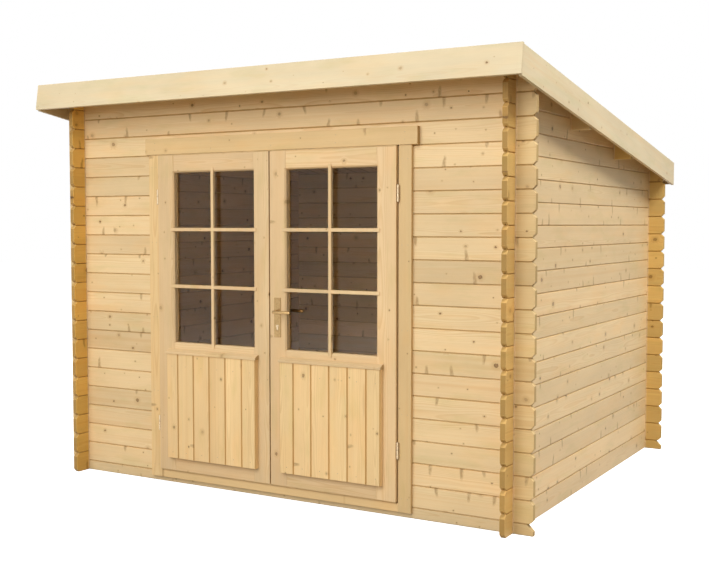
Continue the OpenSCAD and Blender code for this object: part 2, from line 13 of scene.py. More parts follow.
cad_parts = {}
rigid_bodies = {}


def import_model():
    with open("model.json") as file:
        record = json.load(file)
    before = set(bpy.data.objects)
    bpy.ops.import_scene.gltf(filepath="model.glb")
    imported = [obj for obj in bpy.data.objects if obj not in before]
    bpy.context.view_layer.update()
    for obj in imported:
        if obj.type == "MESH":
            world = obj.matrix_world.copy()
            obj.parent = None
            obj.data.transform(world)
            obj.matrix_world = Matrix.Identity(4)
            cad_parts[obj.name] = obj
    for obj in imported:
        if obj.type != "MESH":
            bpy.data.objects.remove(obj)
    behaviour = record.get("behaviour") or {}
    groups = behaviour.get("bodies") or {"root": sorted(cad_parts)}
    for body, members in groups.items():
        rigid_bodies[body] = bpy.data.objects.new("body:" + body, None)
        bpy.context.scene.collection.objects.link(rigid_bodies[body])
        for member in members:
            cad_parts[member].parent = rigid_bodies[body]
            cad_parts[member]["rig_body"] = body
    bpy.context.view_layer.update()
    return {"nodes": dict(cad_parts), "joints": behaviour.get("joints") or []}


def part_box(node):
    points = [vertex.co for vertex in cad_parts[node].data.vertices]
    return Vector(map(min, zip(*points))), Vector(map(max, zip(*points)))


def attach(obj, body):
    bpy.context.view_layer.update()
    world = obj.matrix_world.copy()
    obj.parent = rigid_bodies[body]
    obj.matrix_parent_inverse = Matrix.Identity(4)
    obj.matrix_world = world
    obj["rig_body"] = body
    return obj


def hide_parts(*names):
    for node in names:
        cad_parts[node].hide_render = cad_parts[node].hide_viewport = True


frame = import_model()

bl_info = {
    "name": "Log Shed Looks",
    "version": (1, 0, 0),
    "blender": (4, 5, 0),
    "location": "View3D > Sidebar > Log Shed",
    "description": "Dresses the packed log shed with timber, felt, glass and metal",
    "category": "Object",
}

NODES = frame["nodes"]
AXES = (Vector((1, 0, 0)), Vector((0, 1, 0)), Vector((0, 0, 1)))
# Distance under which two points are one
MERGE = 1e-5
# Cosines above which a face is square to an axis, or slants evenly between two
FLAT = math.cos(math.radians(10))
SLANT = math.cos(math.radians(46))
# Felt: a sheet's share of the thickness, steps across a strip, stray of its edge, slope of a lap, draw
FELT_SHEET = 0.6
FELT_STEPS = 60
FELT_STRAY = 0.0015
FELT_RAMP = 0.02
FELT_SEED = 5
# Fittings: rounding of their edges, radius and height of the screw heads
METAL_EDGE = 0.0006
SCREW_HEAD = 0.0034
SCREW_RISE = 0.0009
# Places of two nails across a casing, as shares of its width
NAIL_SHARES = (0.28, 0.72)
# Distances over which the painted shade of the log ends sets in, past a corner and off the inner face
END_FADE = (0.002, 0.012)
INNER_FADE = (0.001, 0.004)

# Tints that the grain multiplies into the wood; the last is painted shade in the V joints
WARM_HUE = (1.03, 0.975, 0.93, 1.0)
COOL_HUE = (0.985, 0.99, 0.965, 1.0)
GREY_STAIN = (0.89, 0.92, 0.83, 1.0)
RED_BLUSH = (1.03, 0.965, 0.88, 1.0)
END_GRAIN = (0.70, 0.66, 0.56, 1.0)
JOINT_SHADE = (0.69, 0.59, 0.43, 1.0)

# Numbers added to the seed, so that each piece draws its own grain
LOG_WALLS = {
    "left_wall_logs": 0, "right_wall_logs": 1, "back_wall_logs": 2, "front_sill_log": 3,
    "front_left_logs": 4, "front_right_logs": 5, "front_lintel_logs": 28,
}
DRAWS = {
    "fascias": 20, "purlins": 30, "roof_deck": 31, "floor_joists": 40, "floor_boards": 41,
    "door_frame": 50, "gap_strips": 58, "leaves": 60, "next_leaf": 10,
}

FASCIAS = ("front_fascia", "left_fascia", "right_fascia", "rear_fascia")
FRAME_BOARDS = (
    "left_jamb", "right_jamb", "head_jamb", "door_sill", "left_casing", "right_casing", "head_casing",
)
LEAVES = ("left_leaf", "right_leaf")
HINGES = ("frame_hinges", "left_leaf_hinges", "right_leaf_hinges")

# Kind of woodwork: pale wood, ring width and depth, knot size, shares of knots and spikes, spread of tone
Woodwork = namedtuple("Woodwork", "material early rings depth knots share spikes spread slot")

# Place, aim and width of each lamp
LAMPS = {
    "Key lamp": ((-0.4, -8.6, 5.0), (-0.2, -1.2, 0.9), 7.2),
    "Fill lamp": ((6.0, -0.9, 8.7), (1.4, 0.0, 0.8), 3.0),
    "Back lamp": ((-6.5, 6.0, 6.0), (-0.6, 0.6, 0.9), 6.0),
}

# Colour and glow of the floor as it is seen, width of the camera's sensor and end of its sight
WHITE = (1.0, 1.0, 1.0, 1.0)
BLACK = (0.0, 0.0, 0.0, 1.0)
FLOOR_PALE = (0.8, 0.8, 0.8, 1.0)
FLOOR_GLOW = (0.74, 0.74, 0.74, 1.0)
SENSOR = 36.0
SIGHT = 200.0


# Measures taken from the frame

def roof_pitch():
    """Slope of the roof, which cuts the tops of the front wall outside and of the back wall inside."""
    front_low, front_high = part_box("front_lintel_logs")
    back_low, back_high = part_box("back_wall_logs")
    return math.atan2(front_high.z - back_high.z, back_low.y - front_low.y)


def roof_slab(node):
    """Frame of a slab on the slope (X across, Y down the slope, Z out of the roof) and its size there."""
    low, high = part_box(node)
    pitch = roof_pitch()
    wide, deep, tall = high - low
    length = (deep * math.cos(pitch) - tall * math.sin(pitch)) / math.cos(2 * pitch)
    thick = (tall * math.cos(pitch) - deep * math.sin(pitch)) / math.cos(2 * pitch)
    corner = Vector((low.x, low.y, high.z - thick * math.cos(pitch)))
    return Matrix.Translation(corner) @ Matrix.Rotation(-pitch, 4, "X"), Vector((wide, length, thick))


def joint_place(name):
    """Point on the axis of a joint."""
    joint = next(row for row in frame["joints"] if row["name"] == name)
    return Vector(joint["pos_m"])


def upright_panel(leaf):
    """Frame of a leaf's boarded panel (X across, Y up, Z into the leaf) and its size there."""
    low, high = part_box(leaf + "_panel")
    size = Vector((high.x - low.x, high.z - low.z, high.y - low.y))
    upright = Matrix(((1, 0, 0, 0), (0, 0, 1, 0), (0, 1, 0, 0), (0, 0, 0, 1)))
    return Matrix.Translation(low) @ upright, size


def floor_slab():
    """Frame of the floor boards (X across, Y along them, Z down from their top) and their size there."""
    low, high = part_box("floor_boards")
    upside_down = Matrix.Diagonal((1.0, 1.0, -1.0, 1.0))
    return Matrix.Translation((low.x, low.y, high.z)) @ upside_down, high - low


def spread(start, stop, pitch, even=True):
    """Places from start to stop about a pitch apart, or exactly so with what is left over at the end."""
    count = (stop - start) / pitch
    if even:
        steps = max(1, round(count))
        return [start + (stop - start) * k / steps for k in range(steps + 1)]
    return [start + pitch * k for k in range(math.floor(count) + 1)]


def vee_joints(node, place, size):
    """Width of the first board of a row, pitch of the boards and depth of the V joints of a CAD node."""
    level = place.inverted()
    points = [level @ vert.co for vert in NODES[node].data.vertices]
    deep = [point for point in points if MERGE < point.z < size.z - MERGE]
    across = sorted({round(point.x, 5) for point in deep if MERGE < point.x < size.x - MERGE})
    return across[0], across[1] - across[0], deep[0].z


# Building nodes

class NodeMaker:
    """Adds nodes to a tree and links them, so that a tree reads as a list of steps."""

    def __init__(self, tree):
        self.tree = tree

    def node(self, kind, inputs=None, **settings):
        made = self.tree.nodes.new(kind)
        for name, value in settings.items():
            setattr(made, name, value)
        for name, value in (inputs or {}).items():
            self.feed(made.inputs[name], value)
        return made

    def feed(self, socket, value):
        if isinstance(value, bpy.types.NodeSocket):
            self.tree.links.new(value, socket)
        else:
            socket.default_value = value

    def _steps(self, kind, operation, values):
        made = self.node(kind, operation=operation)
        for socket, value in zip(made.inputs, values):
            self.feed(socket, value)
        return made.outputs

    def math(self, operation, *values):
        return self._steps("ShaderNodeMath", operation, values)[0]

    def add(self, first, second):
        return self.math("ADD", first, second)

    def sub(self, first, second):
        return self.math("SUBTRACT", first, second)

    def mul(self, first, second):
        return self.math("MULTIPLY", first, second)

    def div(self, first, second):
        return self.math("DIVIDE", first, second)

    def affine(self, value, factor, offset):
        return self.math("MULTIPLY_ADD", value, factor, offset)

    def length(self, first, second):
        return self.math("SQRT", self.add(self.mul(first, first), self.mul(second, second)))

    def vector(self, operation, *values):
        return self._steps("ShaderNodeVectorMath", operation, values)[0]

    def stretched(self, vector, factors):
        return self.vector("MULTIPLY", vector, factors)

    def scaled(self, vector, factor):
        made = self.node("ShaderNodeVectorMath", {"Scale": factor}, operation="SCALE")
        self.feed(made.inputs[0], vector)
        return made.outputs[0]

    def xyz(self, x, y, z):
        return self.node("ShaderNodeCombineXYZ", {"X": x, "Y": y, "Z": z}).outputs[0]

    def split(self, vector):
        return self.node("ShaderNodeSeparateXYZ", {"Vector": vector}).outputs

    def smooth(self, value, low, high, start=0.0, end=1.0):
        made = self.node("ShaderNodeMapRange", interpolation_type="SMOOTHSTEP")
        names = ("Value", "From Min", "From Max", "To Min", "To Max")
        for name, number in zip(names, (value, low, high, start, end)):
            self.feed(made.inputs[name], number)
        return made.outputs[0]

    def mix(self, factor, first, second, blend="MIX"):
        made = self.node("ShaderNodeMix", data_type="RGBA", blend_type=blend)
        for index, value in ((0, factor), (6, first), (7, second)):
            self.feed(made.inputs[index], value)
        return made.outputs[2]

    def noise(self, vector, scale=1.0, detail=2.0, output="Fac"):
        made = self.node("ShaderNodeTexNoise", {"Vector": vector, "Scale": scale, "Detail": detail})
        return made.outputs[output]

    def random(self, number, output="Value"):
        return self.node("ShaderNodeTexWhiteNoise", {"W": number}, noise_dimensions="1D").outputs[output]

    def object_place(self):
        return self.node("ShaderNodeTexCoord").outputs["Object"]


def new_group(name, kind, inputs, outputs):
    """A node group with named sockets: the tree, its maker, the given values and its output node."""
    tree = bpy.data.node_groups.new(name, kind)
    for label, socket, default in inputs:
        made = tree.interface.new_socket(label, in_out="INPUT", socket_type="NodeSocket" + socket)
        if default is not None:
            made.default_value = default
    for label, socket in outputs:
        tree.interface.new_socket(label, in_out="OUTPUT", socket_type="NodeSocket" + socket)
    maker = NodeMaker(tree)
    given = maker.node("NodeGroupInput").outputs
    return tree, maker, given, maker.node("NodeGroupOutput")


def colour(values):
    return (values[0], values[1], values[2], 1.0)


# Shader groups that several finishes share

def build_knots():
    """Round knots in loose rows along a board: core, rim, halo, and how far one pushes the rings aside."""
    tree, m, given, out = new_group(
        "Round knots", "ShaderNodeTree",
        (
            ("Wood", "Vector", None), ("Piece", "Float", 0.0),
            ("Size", "Float", 0.01), ("Share", "Float", 0.3),
        ),
        (("Core", "Float"), ("Rim", "Float"), ("Halo", "Float"), ("Push", "Float")),
    )
    u, v, _ = m.split(given["Wood"])
    cell_u, cell_v = 0.15, 0.065
    at_u = m.div(u, cell_u)
    at_v = m.add(m.div(v, cell_v), m.mul(given["Piece"], 19.0))
    cells = m.node(
        "ShaderNodeTexVoronoi", {"Vector": m.xyz(at_u, at_v, 0.0), "Scale": 1.0, "Randomness": 0.95},
        voronoi_dimensions="2D",
    )
    mid = m.split(cells.outputs["Position"])
    lot = m.split(cells.outputs["Color"])
    present = m.math("LESS_THAN", lot[0], given["Share"])
    rare = m.math("POWER", lot[1], 2.5)
    size = m.mul(given["Size"], m.affine(rare, 1.0, 0.30))
    dark = m.mul(present, m.affine(m.math("POWER", lot[2], 1.3), 0.72, 0.28))
    along = m.mul(m.sub(at_u, mid[0]), cell_u * 0.85)
    across = m.mul(m.sub(at_v, mid[1]), cell_v)
    reach = m.length(along, across)
    ragged = m.noise(m.scaled(given["Wood"], 130.0), detail=2.0)
    reach = m.add(m.div(reach, size), m.affine(ragged, 1.0, -0.5))
    core = m.mul(dark, m.smooth(reach, 0.65, 1.05, 1.0, 0.0))
    m.feed(out.inputs["Core"], core)
    m.feed(out.inputs["Rim"], m.mul(m.mul(core, dark), m.smooth(reach, 0.4, 0.85)))
    m.feed(out.inputs["Halo"], m.mul(present, m.smooth(reach, 0.8, 3.0, 1.0, 0.0)))
    nearness = m.smooth(reach, 0.3, 3.4, 1.0, 0.0)
    m.feed(out.inputs["Push"], m.mul(m.mul(present, size), nearness))
    return tree


def build_spikes():
    """Branches cut along their length: brown wedges that run in from an edge, many on some boards."""
    tree, m, given, out = new_group(
        "Spike knots", "ShaderNodeTree",
        (
            ("Wood", "Vector", None), ("Piece", "Float", 0.0),
            ("Share", "Float", 0.3), ("Edge", "Float", 0.054),
        ),
        (("Streak", "Float"), ("Line", "Float")),
    )
    u, v, _ = m.split(given["Wood"])
    piece = given["Piece"]
    spacing = 0.17
    at = m.add(m.div(u, spacing), m.mul(piece, 7.0))
    lot = m.split(m.random(m.add(m.math("FLOOR", at), m.mul(piece, 531.0)), "Color"))
    chance = m.math("FRACT", m.mul(m.add(lot[0], lot[1]), 7.3))
    plenty = m.math("POWER", m.random(m.mul(piece, 913.0)), 3.0)
    share = m.mul(given["Share"], m.affine(plenty, 3.0, 0.25))
    present = m.math("LESS_THAN", chance, share)
    middle = m.affine(lot[0], 0.7, 0.15)
    off = m.mul(m.sub(m.math("FRACT", at), middle), spacing)
    bend = m.noise(m.xyz(m.math("FLOOR", at), m.mul(v, 28.0), piece), detail=1.0)
    lean = m.mul(m.sub(lot[2], 0.5), m.mul(v, 0.35))
    off = m.add(off, m.add(lean, m.affine(bend, 0.012, -0.006)))
    way = m.math("SIGN", m.sub(m.math("FRACT", m.mul(lot[2], 5.0)), 0.5))
    depth = m.sub(given["Edge"], m.mul(v, way))
    length = m.affine(lot[1], 0.045, 0.018)
    up = m.div(depth, length)
    wide = m.affine(up, -0.0050, 0.0115)
    side = m.div(off, m.math("MAXIMUM", wide, 0.002))
    patchy = m.noise(m.xyz(m.mul(u, 160.0), m.mul(v, 60.0), piece), detail=2.0)
    inside = m.mul(present, m.smooth(up, 0.55, 1.1, 1.0, 0.0))
    inside = m.mul(inside, m.smooth(patchy, 0.25, 0.6, 0.45, 1.0))
    m.feed(out.inputs["Streak"], m.mul(inside, m.smooth(m.math("ABSOLUTE", side), 0.2, 1.3, 1.0, 0.0)))
    edge = m.smooth(m.math("ABSOLUTE", m.sub(side, 0.6)), 0.1, 0.75, 1.0, 0.0)
    m.feed(out.inputs["Line"], m.mul(inside, m.mul(edge, lot[1])))
    return tree


def build_spruce_grain():
    """Growth rings round a pith beside each board, knots that push them aside, streaks, stains, fibres."""
    tree, m, given, out = new_group(
        "Spruce grain", "ShaderNodeTree",
        (
            ("Wood", "Vector", None), ("Piece", "Float", 0.0),
            ("End", "Float", 0.0), ("Joint", "Float", 0.0),
            ("Ring Width", "Float", 0.003), ("Ring Depth", "Float", 0.5),
            ("Knot Size", "Float", 0.011), ("Knot Share", "Float", 0.3), ("Spike Share", "Float", 0.3),
            ("Tone Spread", "Float", 0.1), ("Hue Spread", "Float", 0.45), ("Stain", "Float", 0.6),
            ("Early Wood", "Color", None), ("Late Wood", "Color", None), ("Knot", "Color", None),
        ),
        (("Color", "Color"), ("Roughness", "Float"), ("Height", "Float")),
    )
    u, v, w = m.split(given["Wood"])
    piece = given["Piece"]
    chance = m.split(m.random(m.mul(piece, 71.0), "Color"))
    knots = m.node(
        "ShaderNodeGroup",
        {"Wood": given["Wood"], "Piece": piece, "Size": given["Knot Size"], "Share": given["Knot Share"]},
        node_tree=shared_group("Round knots", build_knots),
    )
    spikes = m.node(
        "ShaderNodeGroup", {"Wood": given["Wood"], "Piece": piece, "Share": given["Spike Share"]},
        node_tree=shared_group("Spike knots", build_spikes),
    )
    core, rim, halo, push = (knots.outputs[name] for name in ("Core", "Rim", "Halo", "Push"))

    # Rings are measured from a pith that wanders beside the board
    wander = m.split(m.noise(m.xyz(m.mul(u, 1.3), m.mul(v, 5.0), piece), output="Color"))
    pith_v = m.mul(m.sub(chance[0], 0.5), 0.15)
    pith_w = m.affine(chance[1], 0.08, 0.012)
    off_v = m.add(m.sub(v, pith_v), m.affine(wander[0], 0.03, -0.015))
    off_w = m.add(m.add(w, pith_w), m.affine(wander[1], 0.03, -0.015))
    radius = m.add(m.length(off_v, off_w), push)
    radius = m.add(radius, m.mul(spikes.outputs["Streak"], 0.004))
    pace = m.mul(given["Ring Width"], m.affine(chance[2], 0.7, 0.65))
    ring = m.div(radius, pace)
    year = m.math("FRACT", ring)
    late = m.mul(m.smooth(year, 0.3, 0.9), m.smooth(year, 0.92, 1.0, 1.0, 0.0))
    vigour = m.random(m.add(m.math("FLOOR", ring), m.mul(piece, 37.0)))
    late = m.mul(late, m.affine(vigour, 0.6, 0.4))

    # Long streaks, soft clouds, stains and fine fibres
    streak = m.noise(m.stretched(given["Wood"], (0.5, 30.0, 30.0)))
    cloud = m.noise(m.stretched(given["Wood"], (2.4, 9.0, 9.0)))
    stain = m.noise(m.xyz(m.affine(u, 4.0, 31.0), m.mul(v, 13.0), piece), detail=3.0)
    blush = m.noise(m.xyz(m.affine(u, 3.0, 77.0), m.mul(v, 11.0), piece), detail=2.0)
    fibre = m.noise(m.stretched(given["Wood"], (24.0, 620.0, 620.0)))
    shade = m.affine(streak, 0.16, 0.92)
    shade = m.add(shade, m.affine(cloud, 0.2, -0.1))
    shade = m.add(shade, m.affine(fibre, 0.1, -0.05))
    shade = m.add(shade, m.mul(m.sub(chance[2], 0.5), given["Tone Spread"]))

    warm = m.mul(m.smooth(streak, 0.45, 0.75), m.affine(chance[0], 0.35, 0.05))
    wood = m.mix(m.mul(late, given["Ring Depth"]), given["Early Wood"], given["Late Wood"])
    wood = m.mix(warm, wood, given["Late Wood"])
    wood = m.scaled(wood, shade)
    hue = m.mix(m.random(m.mul(piece, 313.0)), WARM_HUE, COOL_HUE)
    wood = m.mix(given["Hue Spread"], wood, hue, "MULTIPLY")
    grey = m.mul(m.smooth(stain, 0.5, 0.72), given["Stain"])
    wood = m.mix(grey, wood, GREY_STAIN, "MULTIPLY")
    wood = m.mix(m.mul(m.smooth(blush, 0.5, 0.7), 0.6), wood, RED_BLUSH, "MULTIPLY")
    wood = m.mix(m.mul(spikes.outputs["Streak"], 0.75), wood, m.scaled(given["Late Wood"], 0.68))
    wood = m.mix(m.mul(spikes.outputs["Line"], 0.3), wood, given["Knot"])
    wood = m.mix(m.mul(halo, 0.4), wood, m.scaled(given["Late Wood"], 0.9))
    wood = m.mix(m.mul(core, 0.92), wood, given["Knot"])
    wood = m.mix(m.mul(rim, 0.75), wood, m.scaled(given["Knot"], 0.3))
    wood = m.mix(given["End"], wood, END_GRAIN, "MULTIPLY")
    # Painted shade on the chamfers of the V joints between logs and boards
    wood = m.mix(given["Joint"], wood, JOINT_SHADE, "MULTIPLY")
    m.feed(out.inputs["Color"], wood)

    rough = m.affine(fibre, 0.16, 0.48)
    rough = m.add(rough, m.mul(given["End"], 0.15))
    m.feed(out.inputs["Roughness"], m.sub(rough, m.mul(core, 0.12)))
    height = m.add(m.mul(late, 0.45), m.mul(fibre, 0.55))
    m.feed(out.inputs["Height"], m.sub(height, m.mul(rim, 0.5)))
    return tree


def build_metal_wear():
    """Faint brushing and spots of dulled metal, measured on the piece itself."""
    tree, m, given, out = new_group(
        "Metal wear", "ShaderNodeTree",
        (
            ("Vector", "Vector", None), ("Bright", "Color", None),
            ("Dull", "Color", None), ("Polish", "Float", 0.25),
        ),
        (("Color", "Color"), ("Roughness", "Float"), ("Height", "Float")),
    )
    spots = m.smooth(m.noise(given["Vector"], scale=160.0, detail=4.0), 0.45, 0.7)
    brush = m.noise(m.stretched(given["Vector"], (900.0, 900.0, 40.0)), detail=1.0)
    m.feed(out.inputs["Color"], m.mix(spots, given["Bright"], given["Dull"]))
    rough = m.add(given["Polish"], m.mul(spots, 0.2))
    m.feed(out.inputs["Roughness"], m.add(rough, m.affine(brush, 0.1, -0.05)))
    m.feed(out.inputs["Height"], m.add(brush, m.mul(spots, 0.6)))
    return tree


def shared_group(name, build):
    return bpy.data.node_groups.get(name) or build()


# Materials

def new_material(name):
    """An empty node material: the material, a maker for it and its Principled BSDF."""
    material = bpy.data.materials.new(name)
    material.use_nodes = True
    tree = material.node_tree
    tree.nodes.clear()
    maker = NodeMaker(tree)
    surface = maker.node("ShaderNodeBsdfPrincipled")
    output = maker.node("ShaderNodeOutputMaterial")
    tree.links.new(surface.outputs[0], output.inputs["Surface"])
    return material, maker, surface


def raise_surface(m, surface, height, strength, distance):
    bump = m.node("ShaderNodeBump", {"Height": height, "Strength": strength, "Distance": distance})
    m.feed(surface.inputs["Normal"], bump.outputs["Normal"])


def spruce(wood, s):
    """A planed spruce finish along each board's own grain: the material, its maker, surface and grain."""
    material, m, surface = new_material(wood.material)
    values = {
        "Ring Width": s.ring_width * wood.rings, "Ring Depth": wood.depth,
        "Knot Size": s.knot_size * wood.knots, "Knot Share": wood.share,
        "Spike Share": wood.spikes, "Tone Spread": wood.spread,
        "Early Wood": colour(wood.early), "Late Wood": colour(s.late), "Knot": colour(s.knot),
    }
    for name, output in (("Wood", "Vector"), ("Piece", "Fac"), ("End", "Fac"), ("Joint", "Fac")):
        values[name] = m.node("ShaderNodeAttribute", attribute_name=name.lower()).outputs[output]
    grain = m.node(
        "ShaderNodeGroup", values, node_tree=shared_group("Spruce grain", build_spruce_grain))
    m.feed(surface.inputs["Base Color"], grain.outputs["Color"])
    m.feed(surface.inputs["Roughness"], grain.outputs["Roughness"])
    surface.inputs["Specular IOR Level"].default_value = 0.35
    raise_surface(m, surface, grain.outputs["Height"], 0.3, 0.0006)
    return material, m, surface, grain


def paint_log_end_shade(m, surface, grain, s):
    """Darkens and warms the log ends that stick out past the corners: painted shade of the corners, partly
    also the ends' own darker wood, and painted warm shade on the left wall's ends on their side towards
    the door.
    """
    left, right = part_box("left_wall_logs")[0].x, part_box("right_wall_logs")[1].x
    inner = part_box("left_wall_logs")[1].x
    front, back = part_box("front_sill_log")[0].y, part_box("back_wall_logs")[1].y
    x, y, _ = m.split(m.object_place())
    past_x = m.math("MAXIMUM", m.sub(x, right), m.sub(left, x))
    past_y = m.math("MAXIMUM", m.sub(y, back), m.sub(front, y))
    # Painted shade on the front and back walls' log ends past the side walls
    cross_end_shade = m.mix(m.math("GREATER_THAN", y, 0.0), colour(s.front_end_shade), colour(s.rear_end_shade))
    wood = m.mix(m.smooth(past_x, *END_FADE), grain.outputs["Color"], cross_end_shade, "MULTIPLY")
    # Painted shade on the side walls' log ends past the front and back walls, warm on the left wall's
    # faces towards the door
    off_inner = m.math("ABSOLUTE", m.sub(x, inner))
    near_inner = m.smooth(off_inner, *INNER_FADE, 1.0, 0.0)
    long_end_shade = m.mix(near_inner, colour(s.side_end_shade), colour(s.inner_end_warm_shade))
    wood = m.mix(m.smooth(past_y, *END_FADE), wood, long_end_shade, "MULTIPLY")
    m.feed(surface.inputs["Base Color"], wood)


def metal(name, bright, dull, polish):
    """A worn metal finish."""
    found = bpy.data.materials.get(name)
    if found:
        return found
    material, m, surface = new_material(name)
    values = {"Bright": colour(bright), "Dull": colour(dull), "Polish": polish, "Vector": m.object_place()}
    wear = m.node("ShaderNodeGroup", values, node_tree=shared_group("Metal wear", build_metal_wear))
    surface.inputs["Metallic"].default_value = 1.0
    m.feed(surface.inputs["Base Color"], wear.outputs["Color"])
    m.feed(surface.inputs["Roughness"], wear.outputs["Roughness"])
    raise_surface(m, surface, wear.outputs["Height"], 0.12, 0.0002)
    return material


def felt_finish(settings):
    """Roofing felt with mineral granules pressed into it, and its slot."""
    material, m, surface = new_material("mineral_felt")
    place = m.object_place()
    grains = m.node("ShaderNodeTexVoronoi", {"Vector": place, "Scale": 650.0})
    tint = m.split(grains.outputs["Color"])[0]
    cloud = m.noise(place, scale=3.5, detail=4.0)
    stone = m.mix(tint, colour(settings.felt_dark), colour(settings.felt_light))
    m.feed(surface.inputs["Base Color"], m.scaled(stone, m.affine(cloud, 0.5, 0.75)))
    m.feed(surface.inputs["Roughness"], m.affine(tint, 0.15, 0.8))
    raise_surface(m, surface, grains.outputs["Distance"], 0.5, 0.001)
    return material, "roof_felt"


def glass_finish(settings):
    """Window glass with faint smears, and its slot."""
    found = bpy.data.materials.get("window_glass")
    if found:
        return found, "pane_glass"
    material, m, surface = new_material("window_glass")
    place = m.object_place()
    smear = m.noise(m.stretched(place, (3.0, 3.0, 9.0)), scale=2.0, detail=5.0)
    m.feed(surface.inputs["Roughness"], m.smooth(smear, 0.5, 0.8, 0.0, 0.06))
    surface.inputs["Base Color"].default_value = colour(settings.glass_tint)
    surface.inputs["Transmission Weight"].default_value = 1.0
    surface.inputs["IOR"].default_value = settings.glass_ior
    return material, "pane_glass"


# Meshes

def merged(node):
    """A copy of a node's mesh, its loose triangles joined into flat faces."""
    bm = bmesh.new()
    bm.from_mesh(NODES[node].data)
    bmesh.ops.remove_doubles(bm, verts=bm.verts, dist=MERGE)
    bmesh.ops.dissolve_limit(bm, angle_limit=math.radians(0.5), verts=bm.verts, edges=bm.edges)
    bm.normal_update()
    return bm


def soften(bm, width, least=25.0, segments=2, pick=None):
    """Rounds the outer edges that are sharper than an angle in degrees."""
    sharp = [
        edge for edge in bm.edges
        if len(edge.link_faces) == 2 and edge.is_convex
        and edge.calc_face_angle(0.0) > math.radians(least) and (pick is None or pick(edge))
    ]
    bmesh.ops.bevel(
        bm, geom=sharp, offset=width, segments=segments, profile=0.5, affect="EDGES", clamp_overlap=True
    )
    bm.normal_update()


def islands(bm):
    """The groups of vertices that hang together, which are the single logs or boards."""
    left = set(bm.verts)
    groups = []
    for start in bm.verts:
        if start not in left:
            continue
        left.discard(start)
        group, queue = [], [start]
        while queue:
            vert = queue.pop()
            group.append(vert)
            for edge in vert.link_edges:
                other = edge.other_vert(vert)
                if other in left:
                    left.discard(other)
                    queue.append(other)
        groups.append(group)
    return groups


def give_grain(bm, seed, turn=None, jointed=True, ends=1.0):
    """Stores on every board its place along the grain, a number, its end faces and its chamfered edges."""
    rng = random.Random(seed)
    wood = bm.verts.layers.float_vector.new("wood")
    piece = bm.faces.layers.float.new("piece")
    end = bm.faces.layers.float.new("end")
    joint = bm.faces.layers.float.new("joint")
    level = turn.inverted() if turn else Matrix.Identity(4)
    for group in islands(bm):
        points = [level @ vert.co for vert in group]
        low = Vector([min(point[k] for point in points) for k in range(3)])
        high = Vector([max(point[k] for point in points) for k in range(3)])
        size, mid = high - low, (high + low) / 2
        order = sorted(range(3), key=lambda k: -size[k])
        shift = rng.uniform(0.0, 40.0)
        flips = [rng.choice((-1.0, 1.0)) for _ in range(3)]
        number = rng.random()
        for vert, point in zip(group, points):
            local = [(point[k] - mid[k]) * flip for k, flip in zip(order, flips)]
            vert[wood] = (local[0] + shift, local[1], local[2])
        along, wide, thick = ((level.inverted().to_3x3() @ AXES[k]).normalized() for k in order)
        for face in {face for vert in group for face in vert.link_faces}:
            lengthwise, sideways, outwards = (abs(face.normal.dot(axis)) for axis in (along, wide, thick))
            face[piece] = number
            slanted = ends / 2 if min(lengthwise, sideways) > SLANT else 0.0
            face[end] = ends if lengthwise > FLAT else slanted
            face[joint] = 1.0 if jointed and min(sideways, outwards) > SLANT else 0.0


def finished(bm, name, finish, node, replaces=True):
    """Turns a bmesh into a piece that rides with a CAD node, and stands for it or adds to it."""
    mesh = bpy.data.meshes.new(name)
    bm.to_mesh(mesh)
    bm.free()
    finished_mesh(mesh, name, finish, node, replaces)


def finished_mesh(mesh, name, finish, node, replaces):
    material, slot = finish
    mesh.materials.clear()
    mesh.materials.append(material)
    piece = bpy.data.objects.new(name, mesh)
    bpy.context.scene.collection.objects.link(piece)
    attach(piece, NODES[node]["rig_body"])
    if replaces:
        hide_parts(node)


def timber(node, finish, edge, seed, turn=None, jointed=False, ends=1.0):
    """A CAD node of logs or boards with softened edges and grain."""
    bm = merged(node)
    soften(bm, edge)
    give_grain(bm, seed, turn, jointed, ends)
    finished(bm, node + "_dressed", finish, node)


def part_bars(bm):
    """Cuts a grid of glazing bars along its upright bar, so that each bar has its own grain."""
    low, high = (Vector([pick(vert.co[k] for vert in bm.verts) for k in range(3)]) for pick in (min, max))
    middle = (low.x + high.x) / 2
    top = [abs(vert.co.x - middle) for vert in bm.verts if vert.co.z > high.z - MERGE]
    half = max(top)
    for side in (-half, half):
        bmesh.ops.bisect_plane(
            bm, geom=bm.verts[:] + bm.edges[:] + bm.faces[:], dist=MERGE,
            plane_co=(middle + side, 0.0, 0.0), plane_no=(1.0, 0.0, 0.0))
    upright = {face for face in bm.faces if abs(face.calc_center_median().x - middle) < half}
    seams = [edge for edge in bm.edges if len({face in upright for face in edge.link_faces}) == 2]
    bmesh.ops.split_edges(bm, edges=seams)
    bmesh.ops.holes_fill(bm, edges=[edge for edge in bm.edges if edge.is_boundary], sides=0)
    bm.normal_update()


def skin(bm, near, far, smooth=False):
    """A band of faces between two closed rings of vertices."""
    for k in range(len(near)):
        n = (k + 1) % len(near)
        bm.faces.new((near[k], near[n], far[n], far[k])).smooth = smooth


def tube(bm, stations, segments=20):
    """A closed tube through stations: centre, level direction and half sizes across and up."""
    rings = []
    for centre, along, across, up in stations:
        side = along.cross(AXES[2]).normalized()
        turns = [2 * math.pi * k / segments for k in range(segments)]
        rings.append([
            bm.verts.new(centre + side * across * math.cos(turn) + AXES[2] * up * math.sin(turn))
            for turn in turns])
    for near, far in zip(rings, rings[1:]):
        skin(bm, near, far, smooth=True)
    bm.faces.new(rings[0])
    bm.faces.new(rings[-1])


